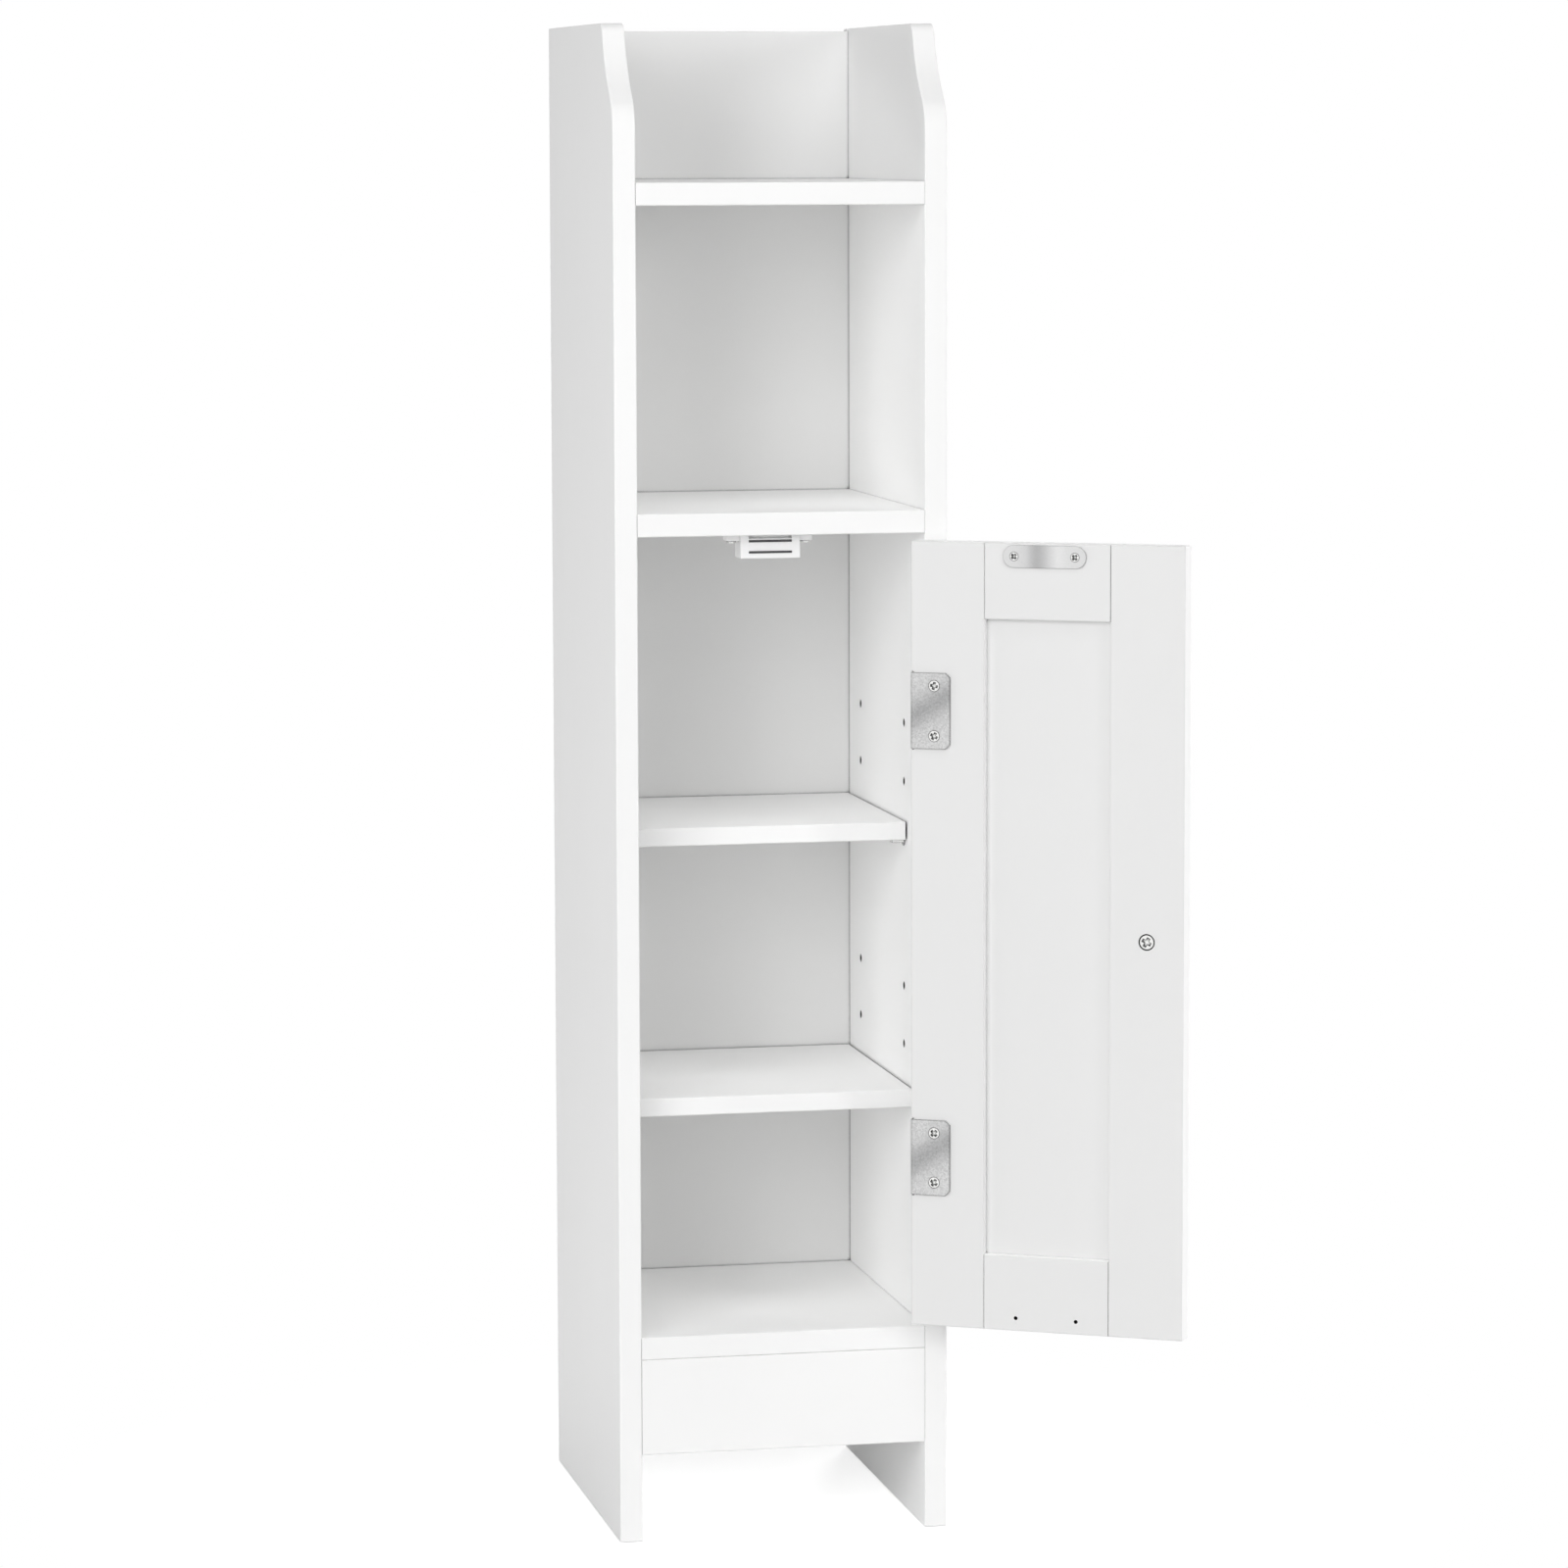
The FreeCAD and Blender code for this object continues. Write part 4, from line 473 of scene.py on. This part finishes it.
def banded(tree, distance, bands):
    """A colour that changes smoothly along a distance from -1 to 1."""
    node = put(tree, "ShaderNodeValToRGB", {0: rising(tree, distance, -1.0, 1.0)})
    ramp = node.color_ramp
    ramp.interpolation = "B_SPLINE"
    while len(ramp.elements) < len(bands):
        ramp.elements.new(1.0)
    for element, (position, _) in zip(ramp.elements, bands):
        element.position = position
    for element, (_, colour) in zip(ramp.elements, bands):
        element.color = colour
    return node.outputs[0]


def plated(name, colour, mottle, rough, grain, relief=FINE_RELIEF, rim=METAL_SHADE_RIM, line=METAL_SHADE_LINE,
           full=JOINT_FULL, clear=METAL_CLEAR):
    """A plated or bright metal with painted shade in recesses and along edges; its colour is plain, or a
    function making a painted reflection's bands in a tree.
    """
    material, tree, shader = new_finish(name, Metallic=1.0)
    if callable(colour):
        colour = colour(tree)
    skin = grouped(tree, PLATING, Colour=colour, Mottle=mottle, Roughness=rough, Grain=grain)
    lined = grouped(tree, EDGE_SHADE, Colour=skin["Colour"], Width=rim, Depth=line)["Colour"]
    # Painted shade in recesses such as screw crosses
    dark = {"Seam": PAINTED_SHADE_BLACK, "Reach": METAL_REACH, "Full": full, "Clear": clear}
    shaded = grouped(tree, SHADE, Colour=lined, **dark)["Colour"]
    finish_with(tree, shader, shaded, skin["Roughness"], skin["Height"], relief, METAL_EDGE)
    return material


def middle(node):
    """The middle of a sub-part's box and half its sides."""
    low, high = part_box(node)
    return (low + high) / 2, (high - low) / 2


def leaf_zinc(leaf):
    """Zinc plating on one hinge leaf, with a painted reflection: a dull diagonal band across its middle."""
    centre, half = middle(leaf)
    slant = half.z * (UP - LEAF_LEAN * DOOR_ALONG)

    def painted_reflection(tree):
        return banded(tree, along(tree, centre, slant), LEAF_PAINTED_REFLECTION)

    return plated(f"{leaf}_zinc", painted_reflection, mottle=0.35, rough=0.34, grain=1100.0, relief=LEAF_RELIEF,
                  rim=LEAF_SHADE_RIM, line=LEAF_SHADE_LINE)


def strike_steel():
    """Satin steel of the strike plate, with painted reflections: upright dark and bright bands along its
    length.
    """
    centre, half = middle("strike_plate")
    length = math.hypot(half.x, half.y)

    def painted_reflection(tree):
        return banded(tree, along(tree, centre, length * DOOR_ALONG), STRIKE_PAINTED_REFLECTION)

    return plated("strike_satin_steel", painted_reflection, mottle=0.06, rough=0.3, grain=1200.0)


def white_moulding():
    """White injection-moulded plastic with a fine spark-eroded texture."""
    material, tree, shader = new_finish("white_moulded_plastic")
    texture = {"Clouds": 0.04, "Roughness": 0.36, "Stipple": 2600.0}
    film = grouped(tree, FILM, Colour=PLASTIC_WHITE, Place=rest_place(tree), **texture)
    # Painted shade in the catch's slots and recesses
    dark = {"Seam": PAINTED_SHADE_BLACK, "Reach": 0.002, "Depth": 0.9}
    shaded = grouped(tree, SHADE, Colour=film["Colour"], **dark)["Colour"]
    finish_with(tree, shader, shaded, film["Roughness"], film["Height"], PLASTIC_RELIEF, MOULDED_EDGE)
    return material


def sintered_ferrite():
    """Dark ferrite with a dry, grainy, pressed surface."""
    material, tree, shader = new_finish("sintered_ferrite")
    texture = {"Clouds": 0.5, "Roughness": 0.7, "Stipple": 3200.0}
    film = grouped(tree, FILM, Colour=FERRITE, Place=rest_place(tree), **texture)
    colour, rough, height = film["Colour"], film["Roughness"], film["Height"]
    finish_with(tree, shader, colour, rough, height, FERRITE_RELIEF, MOULDED_EDGE)
    return material


def beech():
    """Turned beech: grain along the dowel, pores and a dry surface."""
    material, tree, shader = new_finish("turned_beech")
    drawn = stretched(tree, rest_place(tree), GRAIN_STRETCH)
    grain = noise(tree, drawn, GRAIN_SCALE, GRAIN_DETAIL)
    pores = noise(tree, drawn, PORE_SCALE)
    colour = mix(tree, grain, BEECH_DARK, BEECH_LIGHT)
    rough = spread(tree, pores, *BEECH_ROUGH)
    finish_with(tree, shader, colour, rough, maths(tree, "ADD", grain, pores), BEECH_RELIEF, BEECH_EDGE)
    return material


def finish_boards():
    """White lacquer on the carcass's boards, the back panel and the door."""
    # Painted shade on faces by the way they look: fronts, outer sides, the back's rear and the door's faces
    front_shade = (FRONT, FRONT_PAINTED_SHADE)
    for board, outward in zip(SIDE_PANELS, (-RIGHT, RIGHT)):
        facing_shades = (front_shade, (outward, OUTER_PAINTED_SHADE))
        wear(white_lacquer(board, WHITE_PAINT, facing_shades, cap=TRAY_FLOOR, bored=True), board)
    for board in CROSS_BOARDS:
        wear(white_lacquer(board, WHITE_PAINT, (front_shade,)), board)
    back_face_shade = (-FRONT, REAR_PAINTED_SHADE)
    wear(white_lacquer("back_panel", BACK_PAPER, (back_face_shade,), full=BACK_FULL, clear=BACK_CLEAR), "back_panel")
    # The door: painted shade on its inner face, and the fronts' painted shade on its outer face
    facing_shades = ((DOOR_INWARD, DOOR_INNER_PAINTED_SHADE), (-DOOR_INWARD, FRONT_PAINTED_SHADE))
    for board in DOOR_BOARDS:
        wear(white_lacquer(board, WHITE_PAINT, facing_shades, angle=DOOR_CLOSING, clear=DOOR_CLEAR), board)


def finish_hardware():
    """Metal, plastic, ferrite and wood on the hinges, screws, catch, knob and hidden joints."""
    for leaf in HINGE_LEAVES:
        wear(leaf_zinc(leaf), leaf)
    wear(plated("pin_zinc", ZINC_LIGHT, mottle=0.2, rough=0.32, grain=1600.0), *HINGE_PINS)
    # Screws: stronger painted shade in their cross recesses and along their edges
    dark = {"line": SCREW_SHADE_LINE, "full": SCREW_FULL, "clear": SCREW_CLEAR}
    wear(plated("bright_nickel", NICKEL, mottle=0.1, rough=0.22, grain=1800.0, **dark), *SCREWS)
    wear(strike_steel(), "strike_plate")
    wear(plated("pole_steel", POLE_GREY, mottle=0.2, rough=0.4, grain=1500.0), "catch_pole_plates")
    cast = plated("cast_zinc", CAST_GREY, mottle=0.3, rough=0.5, grain=700.0, relief=CAST_RELIEF)
    wear(cast, "cam_locks")
    wear(plated("satin_chrome", CHROME, mottle=0.05, rough=0.24, grain=2200.0), "door_knob")
    wear(white_moulding(), "catch_housing")
    wear(sintered_ferrite(), "catch_magnet")
    wear(beech(), "dowels")


def seen_rays(tree):
    """One for rays that show the background: straight to the camera, in metal or through glass, and all."""
    rays = put(tree, "ShaderNodeLightPath").outputs
    straight = rays["Is Camera Ray"]
    mirrored = maths(tree, "MAXIMUM", rays["Is Glossy Ray"], rays["Is Transmission Ray"])
    return straight, mirrored, maths(tree, "MAXIMUM", straight, mirrored)


def pale_floor():
    """A dull pale floor that glows to the camera and turns plain white away from the object."""
    material = bpy.data.materials.new("pale_floor")
    material.use_nodes = True
    tree = material.node_tree
    tree.nodes.remove(tree.nodes["Principled BSDF"])
    away = vectors(tree, "LENGTH", rest_place(tree))[1]
    far = rising(tree, away, GLOW_START, GLOW_END, interpolation_type="SMOOTHSTEP")
    straight, mirrored, shown = seen_rays(tree)
    glow = maths(tree, "MULTIPLY", spread(tree, far, GLOW_NEAR, GLOW_FAR), straight)
    strength = maths(tree, "ADD", glow, maths(tree, "MULTIPLY", far, mirrored))
    pale = put(tree, "ShaderNodeBsdfDiffuse", {"Color": FLOOR_WHITE}).outputs[0]
    white = put(tree, "ShaderNodeEmission", {"Color": WHITE, "Strength": strength}).outputs[0]
    lit = put(tree, "ShaderNodeAddShader", {0: pale, 1: white}).outputs[0]
    faded = {0: maths(tree, "MULTIPLY", far, shown), 1: lit, 2: white}
    surface = put(tree, "ShaderNodeMixShader", faded).outputs[0]
    tree.links.new(surface, tree.nodes["Material Output"].inputs["Surface"])
    return material


def lay_floor():
    """A round pale floor that keeps the object's shadow and runs out into white."""
    mesh = bpy.data.meshes.new("floor")
    disc = bmesh.new()
    bmesh.ops.create_circle(disc, cap_ends=True, segments=FLOOR_SIDES, radius=FLOOR_RADIUS)
    disc.to_mesh(mesh)
    disc.free()
    mesh.materials.append(pale_floor())
    floor = bpy.data.objects.new("floor", mesh)
    floor.location.z = -FLOOR_DEPTH
    bpy.context.scene.collection.objects.link(floor)


def light_room():
    """A plain grey room that shows as white, and soft boxes that the camera doesn't see."""
    world = bpy.data.worlds.new("studio")
    world.use_nodes = True
    tree = world.node_tree
    _, _, shown = seen_rays(tree)
    tree.links.new(mix(tree, shown, ROOM_GREY, WHITE), tree.nodes["Background"].inputs["Color"])
    bpy.context.scene.world = world
    for name, place, aim, sides, watts in SOFT_BOXES:
        lamp = bpy.data.lights.new(name, "AREA")
        lamp.shape = "RECTANGLE"
        lamp.size, lamp.size_y = sides
        lamp.energy = watts
        box = bpy.data.objects.new(name, lamp)
        box.location = place
        box.rotation_euler = (Vector(aim) - Vector(place)).to_track_quat("-Z", "Y").to_euler()
        box.visible_camera = box.visible_glossy = False
        bpy.context.scene.collection.objects.link(box)


def set_camera():
    """The camera at the photograph's place, angle and framing."""
    level = math.cos(CAMERA_PITCH)
    ahead = Vector((math.sin(CAMERA_YAW) * level, math.cos(CAMERA_YAW) * level, -math.sin(CAMERA_PITCH)))
    right = Vector((math.cos(CAMERA_YAW), -math.sin(CAMERA_YAW), 0))
    up = right.cross(ahead)
    across = math.cos(CAMERA_ROLL) * right + math.sin(CAMERA_ROLL) * up
    upright = math.cos(CAMERA_ROLL) * up - math.sin(CAMERA_ROLL) * right
    lens = bpy.data.cameras.new("photo_camera")
    lens.sensor_fit = "HORIZONTAL"
    lens.sensor_width = SENSOR_WIDTH
    lens.lens = SENSOR_WIDTH * FOCAL_PIXELS / FRAME_PIXELS
    camera = bpy.data.objects.new("photo_camera", lens)
    turn = Matrix((across, upright, -ahead)).transposed().to_4x4()
    camera.matrix_world = Matrix.Translation(CAMERA_PLACE) @ turn
    bpy.context.scene.collection.objects.link(camera)
    bpy.context.scene.camera = camera


finish_boards()
finish_hardware()
lay_floor()
light_room()
set_camera()
scene = bpy.context.scene
scene.view_settings.view_transform = "Standard"
scene.cycles.max_bounces, scene.cycles.diffuse_bounces = BOUNCES, DULL_BOUNCES
